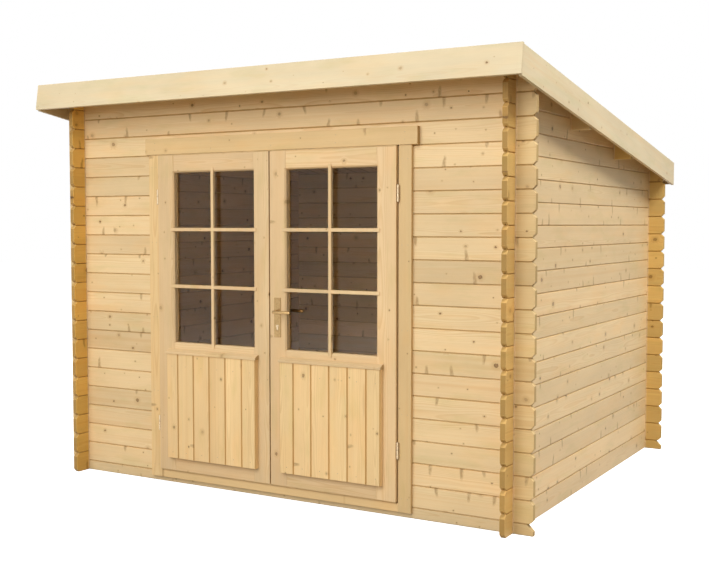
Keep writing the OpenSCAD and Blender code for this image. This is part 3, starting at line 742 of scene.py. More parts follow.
def lever_arm(bm, pivot, out, neck, reach, length):
    """Half of a lever: a neck that stands out of the plate, bends and becomes a grip with a blunt tip."""
    neck_steps, bend_steps, grip_steps = 6, 12, 32
    bend, blunt, tall = neck, 0.6 * neck, 0.88
    grip = length - bend
    stations = []
    for k in range(neck_steps):
        share = k / neck_steps
        round_neck = neck * (0.94 - 0.04 * share)
        stations.append((pivot + out * (reach - bend) * share, out, round_neck, round_neck))
    for k in range(bend_steps + 1):
        turn = math.pi / 2 * k / bend_steps
        centre = pivot + out * (reach - bend + bend * math.sin(turn))
        centre += AXES[0] * bend * (1 - math.cos(turn))
        flat = neck * (0.9 - 0.2 * k / bend_steps)
        stations.append((centre, out * math.cos(turn) + AXES[0] * math.sin(turn), flat, neck * tall))
    for k in range(1, grip_steps + 1):
        share = k / grip_steps
        past = max(0.0, share * grip - (grip - blunt)) / blunt
        swell = 1.0 + 0.12 * math.sin(math.pi * share)
        thick = neck * swell * math.sqrt(max(0.02, 1.0 - past * past))
        centre = pivot + out * (reach - 0.4 * neck * share * share) + AXES[0] * (bend + grip * share)
        stations.append((centre, AXES[0], (0.7 - 0.1 * share) * thick, tall * thick))
    tube(bm, stations)


def lock_outline(radius, web, drop):
    """Outline of a lock cylinder, seen from the front: a round top on a narrower stem with a round end."""
    top_steps, end_steps = 28, 10
    start = math.asin(web / radius)
    sweep = 2 * math.pi - 2 * start
    turns = [-math.pi / 2 + start + sweep * k / top_steps for k in range(top_steps + 1)]
    top = [(radius * math.cos(turn), radius * math.sin(turn)) for turn in turns]
    ends = [math.pi + math.pi * k / end_steps for k in range(end_steps + 1)]
    return top + [(web * math.cos(turn), web - drop + web * math.sin(turn)) for turn in ends]


def lock_cylinder(bm, centre, front, back, radius):
    """A lock cylinder through a leaf, with a key slot sunk into both of its ends."""
    outline = lock_outline(radius, 0.58 * radius, 2.55 * radius)
    half_w, half_h = 0.12 * radius, 0.55 * radius
    slot = [(-half_w, -half_h), (half_w, -half_h), (half_w, half_h), (-half_w, half_h)]

    def ring(points, y):
        return [bm.verts.new((centre.x + x, y, centre.z + z)) for x, z in points]

    shells = []
    for y, inward in ((front, 0.5 * radius), (back, -0.5 * radius)):
        rim, mouth, bottom = ring(outline, y), ring(slot, y), ring(slot, y + inward)
        skin(bm, mouth, bottom)
        bm.faces.new(bottom)
        loops = [(a, b) for loop in (rim, mouth) for a, b in zip(loop, loop[1:] + loop[:1])]
        edges = [bm.edges.get(pair) or bm.edges.new(pair) for pair in loops]
        bmesh.ops.triangle_fill(bm, use_beauty=True, edges=edges)
        shells.append(rim)
    skin(bm, *shells)
    bmesh.ops.recalc_face_normals(bm, faces=bm.faces)


# Geometry Nodes trees

def put_out(m, out, instances, finish):
    """Ends a tree: makes its instances real and gives them their material."""
    real = m.node("GeometryNodeRealizeInstances", {"Geometry": instances.outputs[0]})
    made = m.node("GeometryNodeSetMaterial", {"Geometry": real.outputs[0], "Material": finish})
    m.feed(out.inputs[0], made.outputs[0])


def build_board_row():
    """Boards side by side along X, by the width of the first, the pitch of the others and the width."""
    tree, m, given, out = new_group(
        "Board row", "GeometryNodeTree",
        (
            ("Geometry", "Geometry", None), ("Count", "Int", 6),
            ("First", "Float", 0.1), ("Pitch", "Float", 0.1), ("Width", "Float", 1.0),
            ("Length", "Float", 1.0), ("Thickness", "Float", 0.02),
            ("Unevenness", "Float", 0.0003), ("Seed", "Int", 1), ("Finish", "Material", None),
        ),
        (("Geometry", "Geometry"),),
    )
    index = m.node("GeometryNodeInputIndex").outputs[0]
    right = m.affine(index, given["Pitch"], given["First"])
    left = m.math("MAXIMUM", m.sub(right, given["Pitch"]), 0.0)
    right = m.math("MINIMUM", right, given["Width"])
    middle = m.mul(m.add(left, right), 0.5)
    sunk = m.node("FunctionNodeRandomValue", {"Seed": given["Seed"], "ID": index}, data_type="FLOAT")
    lift = m.mul(sunk.outputs["Value"], given["Unevenness"])
    rows = m.node("GeometryNodeMeshLine", {"Count": given["Count"], "Offset": (0.0, 0.0, 0.0)})
    place = m.xyz(middle, m.mul(given["Length"], 0.5), m.mul(given["Thickness"], 0.5))
    points = m.node("GeometryNodeSetPosition", {"Geometry": rows.outputs[0], "Position": place})
    block = m.node("GeometryNodeMeshCube", {"Size": (1.0, 1.0, 1.0)})
    size = m.xyz(m.sub(right, left), given["Length"], m.sub(given["Thickness"], lift))
    boards = m.node(
        "GeometryNodeInstanceOnPoints",
        {"Points": points.outputs[0], "Instance": block.outputs["Mesh"], "Scale": size},
    )
    put_out(m, out, boards, given["Finish"])
    return tree


def build_nail_heads():
    """A flat nail head at each given point, facing along the vector that is stored there."""
    tree, m, given, out = new_group(
        "Nail heads", "GeometryNodeTree",
        (
            ("Geometry", "Geometry", None), ("Radius", "Float", 0.003), ("Rise", "Float", 0.0005),
            ("Stray", "Float", 0.002), ("Seed", "Int", 1), ("Finish", "Material", None),
        ),
        (("Geometry", "Geometry"),),
    )
    stored = m.node("GeometryNodeInputNamedAttribute", {"Name": "facing"}, data_type="FLOAT_VECTOR")
    facing = stored.outputs[0]
    stray = m.node("FunctionNodeRandomValue", {"Seed": given["Seed"]}, data_type="FLOAT_VECTOR")
    stray.inputs["Min"].default_value = (-1.0, -1.0, -1.0)
    jolt = m.scaled(stray.outputs["Value"], given["Stray"])
    in_face = m.vector("SUBTRACT", jolt, m.vector("PROJECT", jolt, facing))
    points = m.node("GeometryNodeMeshToPoints", {"Mesh": given["Geometry"]})
    moved = m.node("GeometryNodeSetPosition", {"Geometry": points.outputs[0], "Offset": in_face})
    turned = m.node("FunctionNodeAlignRotationToVector", {"Vector": facing}, axis="Z")
    head = m.node(
        "GeometryNodeMeshCone",
        {
            "Vertices": 12, "Radius Bottom": given["Radius"],
            "Radius Top": m.mul(given["Radius"], 0.8), "Depth": given["Rise"],
        },
    )
    heads = m.node(
        "GeometryNodeInstanceOnPoints",
        {"Points": moved.outputs[0], "Instance": head.outputs["Mesh"], "Rotation": turned.outputs[0]},
    )
    put_out(m, out, heads, given["Finish"])
    return tree


def grown(name, tree, mesh, values):
    """Runs a Geometry Nodes tree on a mesh and gives the plain mesh that comes out."""
    carrier = bpy.data.objects.new(name, mesh)
    bpy.context.scene.collection.objects.link(carrier)
    modifier = carrier.modifiers.new("Shape", "NODES")
    modifier.node_group = tree
    items = tree.interface.items_tree
    sockets = {item.name: item.identifier for item in items if item.in_out == "INPUT"}
    for label, value in values.items():
        modifier[sockets[label]] = value
    depsgraph = bpy.context.evaluated_depsgraph_get()
    made = bpy.data.meshes.new_from_object(carrier.evaluated_get(depsgraph))
    if not made.polygons:
        raise RuntimeError(name + ": its nodes made no faces")
    carrier.modifiers.remove(modifier)
    bpy.data.objects.remove(carrier)
    made.name = name
    return made


def board_row(node, finish, edge, seed, place, size):
    """Boards in place of a CAD node, with the V joints that it has and each with its own grain."""
    first, pitch, vee = vee_joints(node, place, size)
    seed_mesh = bpy.data.meshes.new(node + "_seed")
    mesh = grown(node + "_row", shared_group("Board row", build_board_row), seed_mesh, {
        "Count": 1 + math.ceil((size.x - first) / pitch - MERGE), "First": first, "Pitch": pitch,
        "Width": size.x, "Length": size.y, "Thickness": size.z, "Seed": seed, "Finish": finish[0],
    })
    bm = bmesh.new()
    bm.from_mesh(mesh)
    bm.normal_update()

    def beside_joint(side):
        runs_along = abs(side.verts[0].co.y - side.verts[1].co.y) > size.y / 2
        return runs_along and side.verts[0].co.z < size.z / 4

    soften(bm, vee, segments=1, pick=beside_joint)
    soften(bm, edge, least=60.0)
    bm.transform(place)
    bmesh.ops.recalc_face_normals(bm, faces=bm.faces)
    bm.normal_update()
    give_grain(bm, seed, place)
    finished(bm, node + "_boards", finish, node)


def nails(name, node, spots, finish, radius, rise, seed, stray=0.002):
    """Nail heads at a list of places with the direction that each one faces."""
    mesh = bpy.data.meshes.new(name + "_spots")
    mesh.from_pydata([tuple(place) for place, _ in spots], [], [])
    facing = mesh.attributes.new("facing", "FLOAT_VECTOR", "POINT")
    for item, (_, way) in zip(facing.data, spots):
        item.vector = way
    made = grown(name, shared_group("Nail heads", build_nail_heads), mesh, {
        "Radius": radius, "Rise": rise, "Stray": stray, "Seed": seed, "Finish": finish[0],
    })
    finished_mesh(made, name, finish, node, replaces=False)


# Settings

class ShedTimberSettings(bpy.types.PropertyGroup):
    """Spruce of the logs, boards and frames."""

    edge: FloatProperty(
        name="Edge", description="Rounding of the edges of logs and boards", default=0.0012,
        unit="LENGTH")
    ring_width: FloatProperty(
        name="Ring Width", description="Distance between growth rings", default=0.0034, unit="LENGTH")
    knot_size: FloatProperty(
        name="Knot Size", description="Radius of a middling knot", default=0.009, unit="LENGTH")
    knot_share: FloatProperty(
        name="Knot Share", description="Share of the places where a knot can be that have one",
        default=0.42, subtype="FACTOR")
    early: FloatVectorProperty(
        name="Early Wood", description="Pale wood between the rings", default=(0.785, 0.595, 0.335),
        subtype="COLOR")
    late: FloatVectorProperty(
        name="Late Wood", description="Darker wood of the rings", default=(0.60, 0.37, 0.155),
        subtype="COLOR")
    knot: FloatVectorProperty(
        name="Knot", description="Wood of the knots", default=(0.23, 0.118, 0.032), subtype="COLOR")
    fascia: FloatVectorProperty(
        name="Edge Boards", description="Pale wood of the boards around the roof",
        default=(0.70, 0.59, 0.385), subtype="COLOR")
    door: FloatVectorProperty(
        name="Door Wood", description="Pale wood of the door leaves", default=(0.76, 0.555, 0.31),
        subtype="COLOR")
    trim: FloatVectorProperty(
        name="Frame Wood", description="Pale wood of the door frame and its casings",
        default=(0.75, 0.535, 0.265), subtype="COLOR")
    panel: FloatVectorProperty(
        name="Panel Wood", description="Pale wood of the boarded panels", default=(0.86, 0.62, 0.315),
        subtype="COLOR")
    # These four colours are painted shade on the log ends past the corners, warm on the left wall's faces
    # towards the door
    side_end_shade: FloatVectorProperty(
        name="Side Log Ends", description="Tint of the side walls' log ends past the corners",
        default=(0.80, 0.685, 0.42), subtype="COLOR")
    inner_end_warm_shade: FloatVectorProperty(
        name="Inner Log Ends",
        description="Tint of the left wall's log ends on the side towards the door",
        default=(1.0, 0.83, 0.36), subtype="COLOR")
    front_end_shade: FloatVectorProperty(
        name="Front Log Ends", description="Tint of the front wall's log ends past the corners",
        default=(0.845, 0.82, 0.72), subtype="COLOR")
    rear_end_shade: FloatVectorProperty(
        name="Rear Log Ends", description="Tint of the back wall's log ends past the corners",
        default=(0.93, 0.83, 0.48), subtype="COLOR")
    joist: FloatVectorProperty(
        name="Joists", description="Pale wood of the impregnated joists", default=(0.36, 0.33, 0.17),
        subtype="COLOR")
    seed: IntProperty(name="Seed", description="Draws the grain of every board", default=11)


class ShedRoofSettings(bpy.types.PropertyGroup):
    """Boards and felt of the roof."""

    strip: FloatProperty(
        name="Felt Strip", description="Width of a strip of felt", default=1.0, unit="LENGTH")
    lap: FloatProperty(
        name="Felt Lap", description="Lap of one strip over the next", default=0.09, unit="LENGTH")
    felt_dark: FloatVectorProperty(
        name="Dark Granules", description="Darkest granules of the felt", default=(0.018, 0.019, 0.021),
        subtype="COLOR")
    felt_light: FloatVectorProperty(
        name="Light Granules", description="Palest granules of the felt", default=(0.12, 0.12, 0.125),
        subtype="COLOR")


class ShedDoorSettings(bpy.types.PropertyGroup):
    """Boards, glass and fittings of the door."""

    glass_tint: FloatVectorProperty(
        name="Glass", description="Tint of the window glass", default=(0.96, 0.88, 0.75), subtype="COLOR")
    glass_ior: FloatProperty(
        name="Glass Index", description="Index of refraction, low for glass with little glare",
        default=1.3)
    brass: FloatVectorProperty(
        name="Brass", description="Bronzed brass of the lever and its plates",
        default=(0.37, 0.245, 0.11), subtype="COLOR")
    brass_dull: FloatVectorProperty(
        name="Dull Brass", description="Darker spots of the brass", default=(0.25, 0.155, 0.065),
        subtype="COLOR")
    steel: FloatVectorProperty(
        name="Steel", description="Zinc plated steel of hinges and nails", default=(0.56, 0.44, 0.29),
        subtype="COLOR")
    plate: FloatProperty(
        name="Plate", description="Thickness of a lock plate", default=0.0033, unit="LENGTH")
    screw_inset: FloatProperty(
        name="Screw Inset", description="Distance of a plate's screws from its ends", default=0.0075,
        unit="LENGTH")
    key_drop: FloatProperty(
        name="Key Drop", description="Distance of the lock cylinder below the lever", default=0.078,
        unit="LENGTH")
    cylinder: FloatProperty(
        name="Cylinder", description="Radius of the lock cylinder", default=0.0083, unit="LENGTH")
    cylinder_proud: FloatProperty(
        name="Cylinder Reach", description="Reach of the lock cylinder past the plates", default=0.001,
        unit="LENGTH")
    gap_strip: FloatProperty(
        name="Gap Strip",
        description="Height of the strips that close the gaps over and under the leaves", default=0.0038,
        unit="LENGTH")
    gap_depth: FloatProperty(
        name="Gap Depth", description="Distance of those strips behind the front of the leaves",
        default=0.003, unit="LENGTH")
    steel_dull: FloatVectorProperty(
        name="Dull Steel", description="Darker spots of the steel", default=(0.40, 0.31, 0.19),
        subtype="COLOR")


class ShedNailSettings(bpy.types.PropertyGroup):
    """Nails of the casings, boards and felt."""

    head: FloatProperty(name="Head", description="Radius of a nail head", default=0.0022, unit="LENGTH")
    felt_head: FloatProperty(
        name="Felt Head", description="Radius of the broad head of a felt nail", default=0.006,
        unit="LENGTH")
    rise: FloatProperty(
        name="Rise", description="Height of a nail head above the wood", default=0.0006, unit="LENGTH")
    pitch: FloatProperty(
        name="Pitch", description="Distance between nails along a casing", default=0.42, unit="LENGTH")
    felt_pitch: FloatProperty(
        name="Felt Pitch", description="Distance between nails along an edge of the felt", default=0.1,
        unit="LENGTH")
    margin: FloatProperty(
        name="Margin", description="Distance of the last nails from the end of a casing", default=0.07,
        unit="LENGTH")


class ShedStageSettings(bpy.types.PropertyGroup):
    """Camera, floor and light."""

    eye: FloatVectorProperty(
        name="Eye", description="Place of the camera", default=(3.3161, -5.9353, 1.4865),
        subtype="TRANSLATION")
    yaw: FloatProperty(
        name="Yaw", description="Turn of the camera to the left of straight ahead",
        default=math.radians(30.292), subtype="ANGLE")
    dip: FloatProperty(
        name="Dip", description="Turn of the camera below level", default=math.radians(3.120),
        subtype="ANGLE")
    lens: FloatProperty(
        name="Lens", description="Focal length in millimetres on a sensor 36 mm wide", default=54.83)
    floor: FloatProperty(name="Floor", description="Width of the floor", default=60.0, unit="LENGTH")
    ground: FloatVectorProperty(
        name="Ground", description="Colour that the floor throws back on the shed",
        default=(0.25, 0.21, 0.155), subtype="COLOR")
    sky: FloatProperty(name="Sky", description="Strength of the even light around", default=0.36)
    key: FloatProperty(
        name="Key", description="Power of the large lamp above the front", default=638.0, unit="POWER")
    fill: FloatProperty(
        name="Fill", description="Power of the large lamp above the right side", default=815.0,
        unit="POWER")
    back: FloatProperty(
        name="Back", description="Power of the large lamp behind the left corner", default=520.0,
        unit="POWER")


# Finishes by name

def timber_finish(context, kind):
    """The material and the record's slot for a kind of woodwork."""
    s = context.scene.shed_timber
    kinds = {
        "log": Woodwork("log_wood", s.early, 1.0, 0.4, 1.0, s.knot_share, 0.3, 0.2, "log_spruce"),
        "fascia": Woodwork("fascia_wood", s.fascia, 1.1, 0.16, 0.6, 0.55, 0.0, 0.04, "trim_spruce"),
        "trim": Woodwork("frame_wood", s.trim, 1.0, 0.5, 0.9, 0.36, 0.12, 0.14, "trim_spruce"),
        "door": Woodwork("door_wood", s.door, 0.9, 0.5, 0.85, 0.34, 0.08, 0.14, "door_spruce"),
        "panel": Woodwork("panel_wood", s.panel, 1.0, 0.4, 0.8, 0.34, 0.04, 0.12, "door_spruce"),
        "board": Woodwork("board_wood", s.early, 1.0, 0.4, 0.9, 0.3, 0.1, 0.14, "board_spruce"),
        "joist": Woodwork("joist_wood", s.joist, 1.3, 0.5, 1.0, 0.3, 0.1, 0.1, "joist_wood"),
    }
    wood = kinds[kind]
    found = bpy.data.materials.get(wood.material)
    if found:
        return found, wood.slot
    material, m, surface, grain = spruce(wood, s)
    if kind == "log":
        paint_log_end_shade(m, surface, grain, s)
    return material, wood.slot


def brass_finish(door):
    return metal("bronzed_brass", door.brass, door.brass_dull, polish=0.3), "handle_brass"


def steel_finish(door):
    return metal("zinc_steel", door.steel, door.steel_dull, polish=0.5), "hinge_steel"


# Operators

class SHED_OT_log_walls(bpy.types.Operator):
    """Gives every log of the walls its own grain"""

    bl_idname = "shed.log_walls"
    bl_label = "Log Walls"

    def execute(self, context):
        s = context.scene.shed_timber
        finish = timber_finish(context, "log")
        for node, draw in LOG_WALLS.items():
            timber(node, finish, s.edge, s.seed + draw, jointed=True)
        return {"FINISHED"}


class SHED_OT_roof(bpy.types.Operator):
    """Lays the roof boards, the felt strips and the boards around the edge"""

    bl_idname = "shed.roof"
    bl_label = "Roof"

    def execute(self, context):
        s, roof = context.scene.shed_timber, context.scene.shed_roof
        finish = timber_finish(context, "fascia")
        slope = Matrix.Rotation(-roof_pitch(), 4, "X")
        for draw, node in enumerate(FASCIAS, s.seed + DRAWS["fascias"]):
            timber(node, finish, s.edge / 2, draw, slope, ends=0.2)
        timber("purlins", timber_finish(context, "log"), s.edge, s.seed + DRAWS["purlins"])
        finish = timber_finish(context, "board")
        board_row("roof_deck", finish, s.edge / 2, s.seed + DRAWS["roof_deck"], *roof_slab("roof_deck"))
        self.lay_felt(roof)
        return {"FINISHED"}

    def lay_felt(self, roof):
        """Strips across the roof, from the low edge up, each lapped over the one below it."""
        place, size = roof_slab("roof_felt")
        rng = random.Random(FELT_SEED)
        sheet = size.z * FELT_SHEET
        bm = bmesh.new()
        low_edge = size.y
        while low_edge > 0.0:
            high_edge = max(0.0, low_edge - roof.strip)
            laps = low_edge < size.y
            rest = low_edge - roof.lap
            ramp = rest - FELT_RAMP
            top = size.z if laps else sheet
            rings = []
            for i in range(FELT_STEPS + 1):
                x = size.x * i / FELT_STEPS
                edge = low_edge + (rng.uniform(-FELT_STRAY, FELT_STRAY) if laps else 0.0)
                profile = (
                    (high_edge, 0.0), (high_edge, sheet), (ramp, sheet), (rest, top),
                    (edge, top), (edge, top - sheet), (rest, top - sheet), (ramp, 0.0),
                )
                rings.append([bm.verts.new((x, along, up)) for along, up in profile])
            for near, far in zip(rings, rings[1:]):
                skin(bm, near, far)
            bm.faces.new(list(reversed(rings[0])))
            bm.faces.new(rings[-1])
            low_edge = high_edge + (roof.lap if high_edge > 0.0 else 0.0)
        bmesh.ops.recalc_face_normals(bm, faces=bm.faces)
        bm.transform(place)
        finished(bm, "roof_felt_strips", felt_finish(roof), "roof_felt")


class SHED_OT_floor(bpy.types.Operator):
    """Lays the floor boards on their joists"""

    bl_idname = "shed.floor_boards"
    bl_label = "Floor"

    def execute(self, context):
        s = context.scene.shed_timber
        timber("floor_joists", timber_finish(context, "joist"), s.edge, s.seed + DRAWS["floor_joists"])
        finish = timber_finish(context, "board")
        board_row("floor_boards", finish, s.edge / 2, s.seed + DRAWS["floor_boards"], *floor_slab())
        return {"FINISHED"}


class SHED_OT_door_frame(bpy.types.Operator):
    """Dresses the jambs, the sill and the casings"""

    bl_idname = "shed.door_frame"
    bl_label = "Door Frame"

    def execute(self, context):
        s = context.scene.shed_timber
        finish = timber_finish(context, "trim")
        for draw, node in enumerate(FRAME_BOARDS, s.seed + DRAWS["door_frame"]):
            timber(node, finish, s.edge, draw)
        self.close_gaps(s, context.scene.shed_door, finish)
        return {"FINISHED"}

    def close_gaps(self, s, door, finish):
        """Strips on the head and the sill, just clear of the leaves that swing past them."""
        left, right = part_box("left_leaf_stiles")[0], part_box("right_leaf_stiles")[1]
        clear = door.gap_strip / 4
        front, deep = left.y + door.gap_depth, right.y - left.y - 2 * door.gap_depth
        strips = {"head_strip": right.z + clear, "sill_strip": left.z - clear - door.gap_strip}
        for name, z in strips.items():
            bm = bmesh.new()
            bmesh.ops.create_cube(bm, size=1.0)
            bm.transform(
                Matrix.Translation(((left.x + right.x) / 2, front + deep / 2, z + door.gap_strip / 2))
                @ Matrix.Diagonal((right.x - left.x, deep, door.gap_strip, 1.0)))
            bm.normal_update()
            soften(bm, s.edge / 2)
            give_grain(bm, s.seed + DRAWS["gap_strips"], jointed=False)
            finished(bm, name, finish, "head_jamb", replaces=False)


class SHED_OT_door_leaves(bpy.types.Operator):
    """Dresses the two leaves: members, boarded panels, mouldings, bars and glass"""

    bl_idname = "shed.door_leaves"
    bl_label = "Door Leaves"

    def execute(self, context):
        s, door = context.scene.shed_timber, context.scene.shed_door
        for number, leaf in enumerate(LEAVES):
            seed = s.seed + DRAWS["leaves"] + DRAWS["next_leaf"] * number
            finish = timber_finish(context, "door")
            for k, part in enumerate(("_stiles", "_rails", "_moulding")):
                timber(leaf + part, finish, s.edge, seed + k)
            bars = merged(leaf + "_bars")
            soften(bars, s.edge)
            part_bars(bars)
            give_grain(bars, seed + 4, jointed=False)
            finished(bars, leaf + "_bars_dressed", finish, leaf + "_bars")

            finish = timber_finish(context, "panel")
            board_row(leaf + "_panel", finish, s.edge / 2, seed + 5, *upright_panel(leaf))
            finished(merged(leaf + "_glass"), leaf + "_pane", glass_finish(door), leaf + "_glass")
        return {"FINISHED"}


class SHED_OT_fittings(bpy.types.Operator):
    """Makes the hinges, the lever and its plates"""

    bl_idname = "shed.fittings"
    bl_label = "Hinges and Lever"

    def execute(self, context):
        door = context.scene.shed_door
        steel = steel_finish(door)
        for node in HINGES:
            bm = merged(node)
            soften(bm, METAL_EDGE, least=50.0)
            for face in bm.faces:
                face.smooth = len(face.verts) == 4
            finished(bm, node + "_dressed", steel, node)
        brass = brass_finish(door)
        plates = merged("lock_plates")
        soften(plates, METAL_EDGE, least=50.0, segments=1)
        finished(plates, "lock_plates_dressed", brass, "lock_plates")
        self.hang_lever(brass)
        self.fit_lock(door, brass, steel)
        return {"FINISHED"}

    def hang_lever(self, brass):
        """A lever on each face of the leaf, on one axis."""
        low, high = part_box("door_lever")
        pivot = joint_place("lever_turn")
        neck = high.z - pivot.z
        bm = bmesh.new()
        for out in (-AXES[1], AXES[1]):
            lever_arm(bm, pivot, out, neck, (high.y - low.y) / 2 - 0.8 * neck, high.x - pivot.x)
        bmesh.ops.recalc_face_normals(bm, faces=bm.faces)
        finished(bm, "door_lever_swept", brass, "door_lever")

    def fit_lock(self, door, brass, steel):
        """The lock cylinder under the lever and the screws of the plates."""
        low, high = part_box("lock_plates")
        pivot = joint_place("lever_turn")
        leaf_low, leaf_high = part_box("right_leaf_stiles")
        proud = door.plate + door.cylinder_proud
        bm = bmesh.new()
        lock_cylinder(
            bm, pivot - AXES[2] * door.key_drop, leaf_low.y - proud, leaf_high.y + proud, door.cylinder)
        finished(bm, "lock_cylinder", (steel[0], brass[1]), "lock_plates", replaces=False)
        spots = []
        for z in (low.z + door.screw_inset, high.z - door.screw_inset):
            spots.append((Vector((pivot.x, leaf_low.y - door.plate, z)), -AXES[1]))
            spots.append((Vector((pivot.x, leaf_high.y + door.plate, z)), AXES[1]))
        nails("plate_screws", "lock_plates", spots, brass, SCREW_HEAD, SCREW_RISE, seed=3, stray=0.0)


class SHED_OT_nails(bpy.types.Operator):
    """Drives the nails of the casings, panels, floor boards and felt"""

    bl_idname = "shed.nails"
    bl_label = "Nails"

    def execute(self, context):
        s = context.scene.shed_nails
        steel = steel_finish(context.scene.shed_door)
        groups = {
            "casing_nails": ("left_casing", self.casing_spots(s)),
            "floor_nails": ("floor_boards", self.floor_spots()),
            "felt_nails": ("roof_felt", self.felt_spots(s)),
        }
        for leaf in LEAVES:
            groups[leaf + "_nails"] = (leaf + "_panel", self.panel_spots(leaf, s))
        for number, (name, (carrier, spots)) in enumerate(groups.items()):
            radius = s.felt_head if carrier == "roof_felt" else s.head
            nails(name, carrier, spots, steel, radius, s.rise, number)
        return {"FINISHED"}

    def casing_spots(self, s):
        spots = []
        for node in ("left_casing", "right_casing"):
            low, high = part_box(node)
            for z in spread(low.z + s.margin, high.z - s.margin, s.pitch):
                for share in NAIL_SHARES:
                    spots.append((Vector((low.x + (high.x - low.x) * share, low.y, z)), -AXES[1]))
        low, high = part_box("head_casing")
        for x in spread(low.x + s.margin, high.x - s.margin, s.pitch):
            for share in NAIL_SHARES:
                spots.append((Vector((x, low.y, low.z + (high.z - low.z) * share)), -AXES[1]))
        return spots

    def panel_spots(self, leaf, s):
        place, size = upright_panel(leaf)
        first, pitch, _ = vee_joints(leaf + "_panel", place, size)
        middles = [first / 2] + spread(first + pitch / 2, size.x, pitch, even=False)
        return [
            (place @ Vector((x, y, 0.0)), -AXES[1])
            for x in middles for y in (s.margin / 2, size.y - s.margin)]

    def floor_spots(self):
        joists = merged("floor_joists")
        middles_y = [sum(vert.co.y for vert in group) / len(group) for group in islands(joists)]
        lines = sorted({round(y, 3) for y in middles_y})
        joists.free()
        place, size = floor_slab()
        first, pitch, _ = vee_joints("floor_boards", place, size)
        low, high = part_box("floor_boards")
        middles = spread(low.x + first + pitch / 2, high.x, pitch, even=False)
        return [
            (Vector((x + side * pitch / 4, y, high.z)), AXES[2])
            for x in middles for y in lines for side in (-1, 1) if low.y < y < high.y]

    def felt_spots(self, s):
        place, size = roof_slab("roof_felt")
        up = place.to_3x3() @ AXES[2]
        inset, lift = s.margin / 3, FELT_SHEET * size.z
        far_x, far_y = size.x - inset, size.y - inset
        across = [(x, y) for x in spread(inset, far_x, s.felt_pitch) for y in (inset, far_y)]
        along = [(x, y) for y in spread(inset, far_y, s.felt_pitch) for x in (inset, far_x)]
        return [(place @ Vector((x, y, lift)), up) for x, y in across + along]


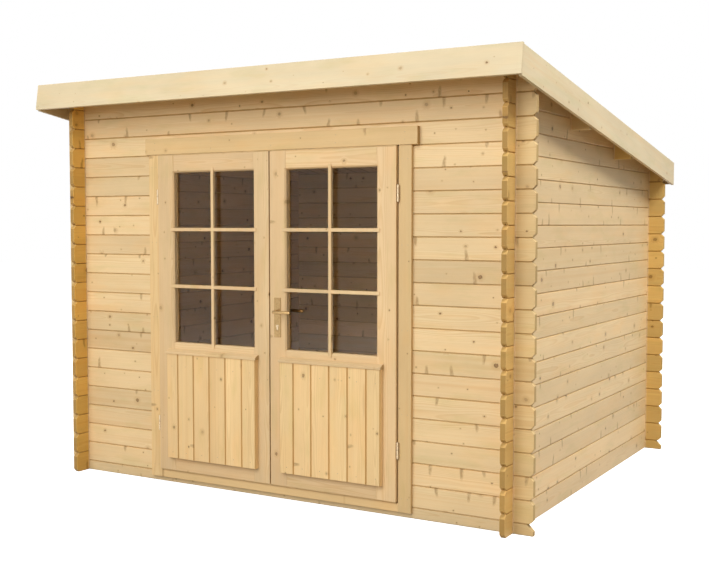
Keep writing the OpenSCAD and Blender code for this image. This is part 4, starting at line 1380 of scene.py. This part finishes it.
class SHED_OT_stage(bpy.types.Operator):
    """Sets the floor, the lamps, the world and the camera"""

    bl_idname = "shed.stage"
    bl_label = "Stage"

    def execute(self, context):
        s = context.scene.shed_stage
        scene = context.scene
        self.lay_floor(s)
        self.light_world(scene, s)
        for name, (place, aim, size) in LAMPS.items():
            self.hang_lamp(name, getattr(s, name.split()[0].lower()), place, aim, size)
        view = bpy.data.cameras.new("Camera")
        view.lens = s.lens
        view.sensor_width = SENSOR
        view.sensor_fit = "HORIZONTAL"
        view.clip_end = SIGHT
        camera = bpy.data.objects.new("Camera", view)
        camera.location = s.eye
        camera.rotation_euler = (math.pi / 2 - s.dip, 0.0, s.yaw)
        scene.collection.objects.link(camera)
        scene.camera = camera
        scene.view_settings.view_transform = "Standard"
        return {"FINISHED"}

    def lay_floor(self, s):
        """A pale floor that takes the shed's shadow."""
        half = s.floor / 2
        bm = bmesh.new()
        corners = ((-half, -half), (half, -half), (half, half), (-half, half))
        bm.faces.new([bm.verts.new((x, y, 0.0)) for x, y in corners])
        mesh = bpy.data.meshes.new("Floor")
        bm.to_mesh(mesh)
        bm.free()
        material, m, surface = new_material("pale_floor")
        place = m.object_place()
        seen = self.seen_rays(m)
        m.feed(surface.inputs["Base Color"], m.mix(seen, colour(s.ground), FLOOR_PALE))
        m.feed(surface.inputs["Emission Color"], m.mix(seen, BLACK, FLOOR_GLOW))
        m.feed(surface.inputs["Roughness"], m.affine(m.noise(place, scale=4.0), 0.1, 0.8))
        surface.inputs["Emission Strength"].default_value = 1.0
        surface.inputs["Specular IOR Level"].default_value = 0.0
        mesh.materials.append(material)
        floor = bpy.data.objects.new("Floor", mesh)
        bpy.context.scene.collection.objects.link(floor)

    def seen_rays(self, m):
        """One for rays from the camera, a mirror or glass, which see the white background."""
        path = m.node("ShaderNodeLightPath").outputs
        seen = m.math("MAXIMUM", path["Is Camera Ray"], path["Is Glossy Ray"])
        return m.math("MAXIMUM", seen, path["Is Transmission Ray"])

    def light_world(self, scene, s):
        """Even light, and a white background for what is seen, mirrored or looked through."""
        world = bpy.data.worlds.new("Studio")
        world.use_nodes = True
        tree = world.node_tree
        tree.nodes.clear()
        m = NodeMaker(tree)
        seen = self.seen_rays(m)
        even = m.node("ShaderNodeBackground", {"Color": WHITE, "Strength": s.sky})
        white = m.node("ShaderNodeBackground", {"Color": WHITE, "Strength": 1.0})
        both = m.node("ShaderNodeMixShader", {0: seen, 1: even.outputs[0], 2: white.outputs[0]})
        output = m.node("ShaderNodeOutputWorld")
        m.feed(output.inputs["Surface"], both.outputs[0])
        scene.world = world

    def hang_lamp(self, name, power, place, aim, size):
        lamp = bpy.data.lights.new(name, "AREA")
        lamp.energy = power
        lamp.size = size
        hung = bpy.data.objects.new(name, lamp)
        hung.location = place
        hung.rotation_euler = (Vector(aim) - Vector(place)).to_track_quat("-Z", "Y").to_euler()
        bpy.context.scene.collection.objects.link(hung)


class SHED_PT_looks(bpy.types.Panel):
    """Lists the steps that dress the shed"""

    bl_idname = "SHED_PT_looks"
    bl_label = "Log Shed"
    bl_space_type = "VIEW_3D"
    bl_region_type = "UI"
    bl_category = "Log Shed"

    def draw(self, context):
        for settings in GROUPS:
            group = getattr(context.scene, settings)
            box = self.layout.box()
            for name in group.bl_rna.properties.keys():
                if name not in ("rna_type", "name"):
                    box.prop(group, name)
        for step in STEPS:
            self.layout.operator(step.bl_idname)


STEPS = (
    SHED_OT_stage, SHED_OT_log_walls, SHED_OT_roof, SHED_OT_floor, SHED_OT_door_frame, SHED_OT_door_leaves,
    SHED_OT_fittings, SHED_OT_nails,
)
GROUPS = {
    "shed_timber": ShedTimberSettings,
    "shed_roof": ShedRoofSettings,
    "shed_door": ShedDoorSettings,
    "shed_nails": ShedNailSettings,
    "shed_stage": ShedStageSettings,
}


def register():
    for group in GROUPS.values():
        bpy.utils.register_class(group)
    for name, group in GROUPS.items():
        setattr(bpy.types.Scene, name, PointerProperty(type=group))
    for step in STEPS:
        bpy.utils.register_class(step)
    bpy.utils.register_class(SHED_PT_looks)


def unregister():
    bpy.utils.unregister_class(SHED_PT_looks)
    for step in reversed(STEPS):
        bpy.utils.unregister_class(step)
    for name, group in GROUPS.items():
        delattr(bpy.types.Scene, name)
        bpy.utils.unregister_class(group)


def main():
    register()
    bpy.ops.shed.stage()
    bpy.ops.shed.log_walls()
    bpy.ops.shed.roof()
    bpy.ops.shed.floor_boards()
    bpy.ops.shed.door_frame()
    bpy.ops.shed.door_leaves()
    bpy.ops.shed.fittings()
    bpy.ops.shed.nails()


if __name__ == "__main__":
    main()
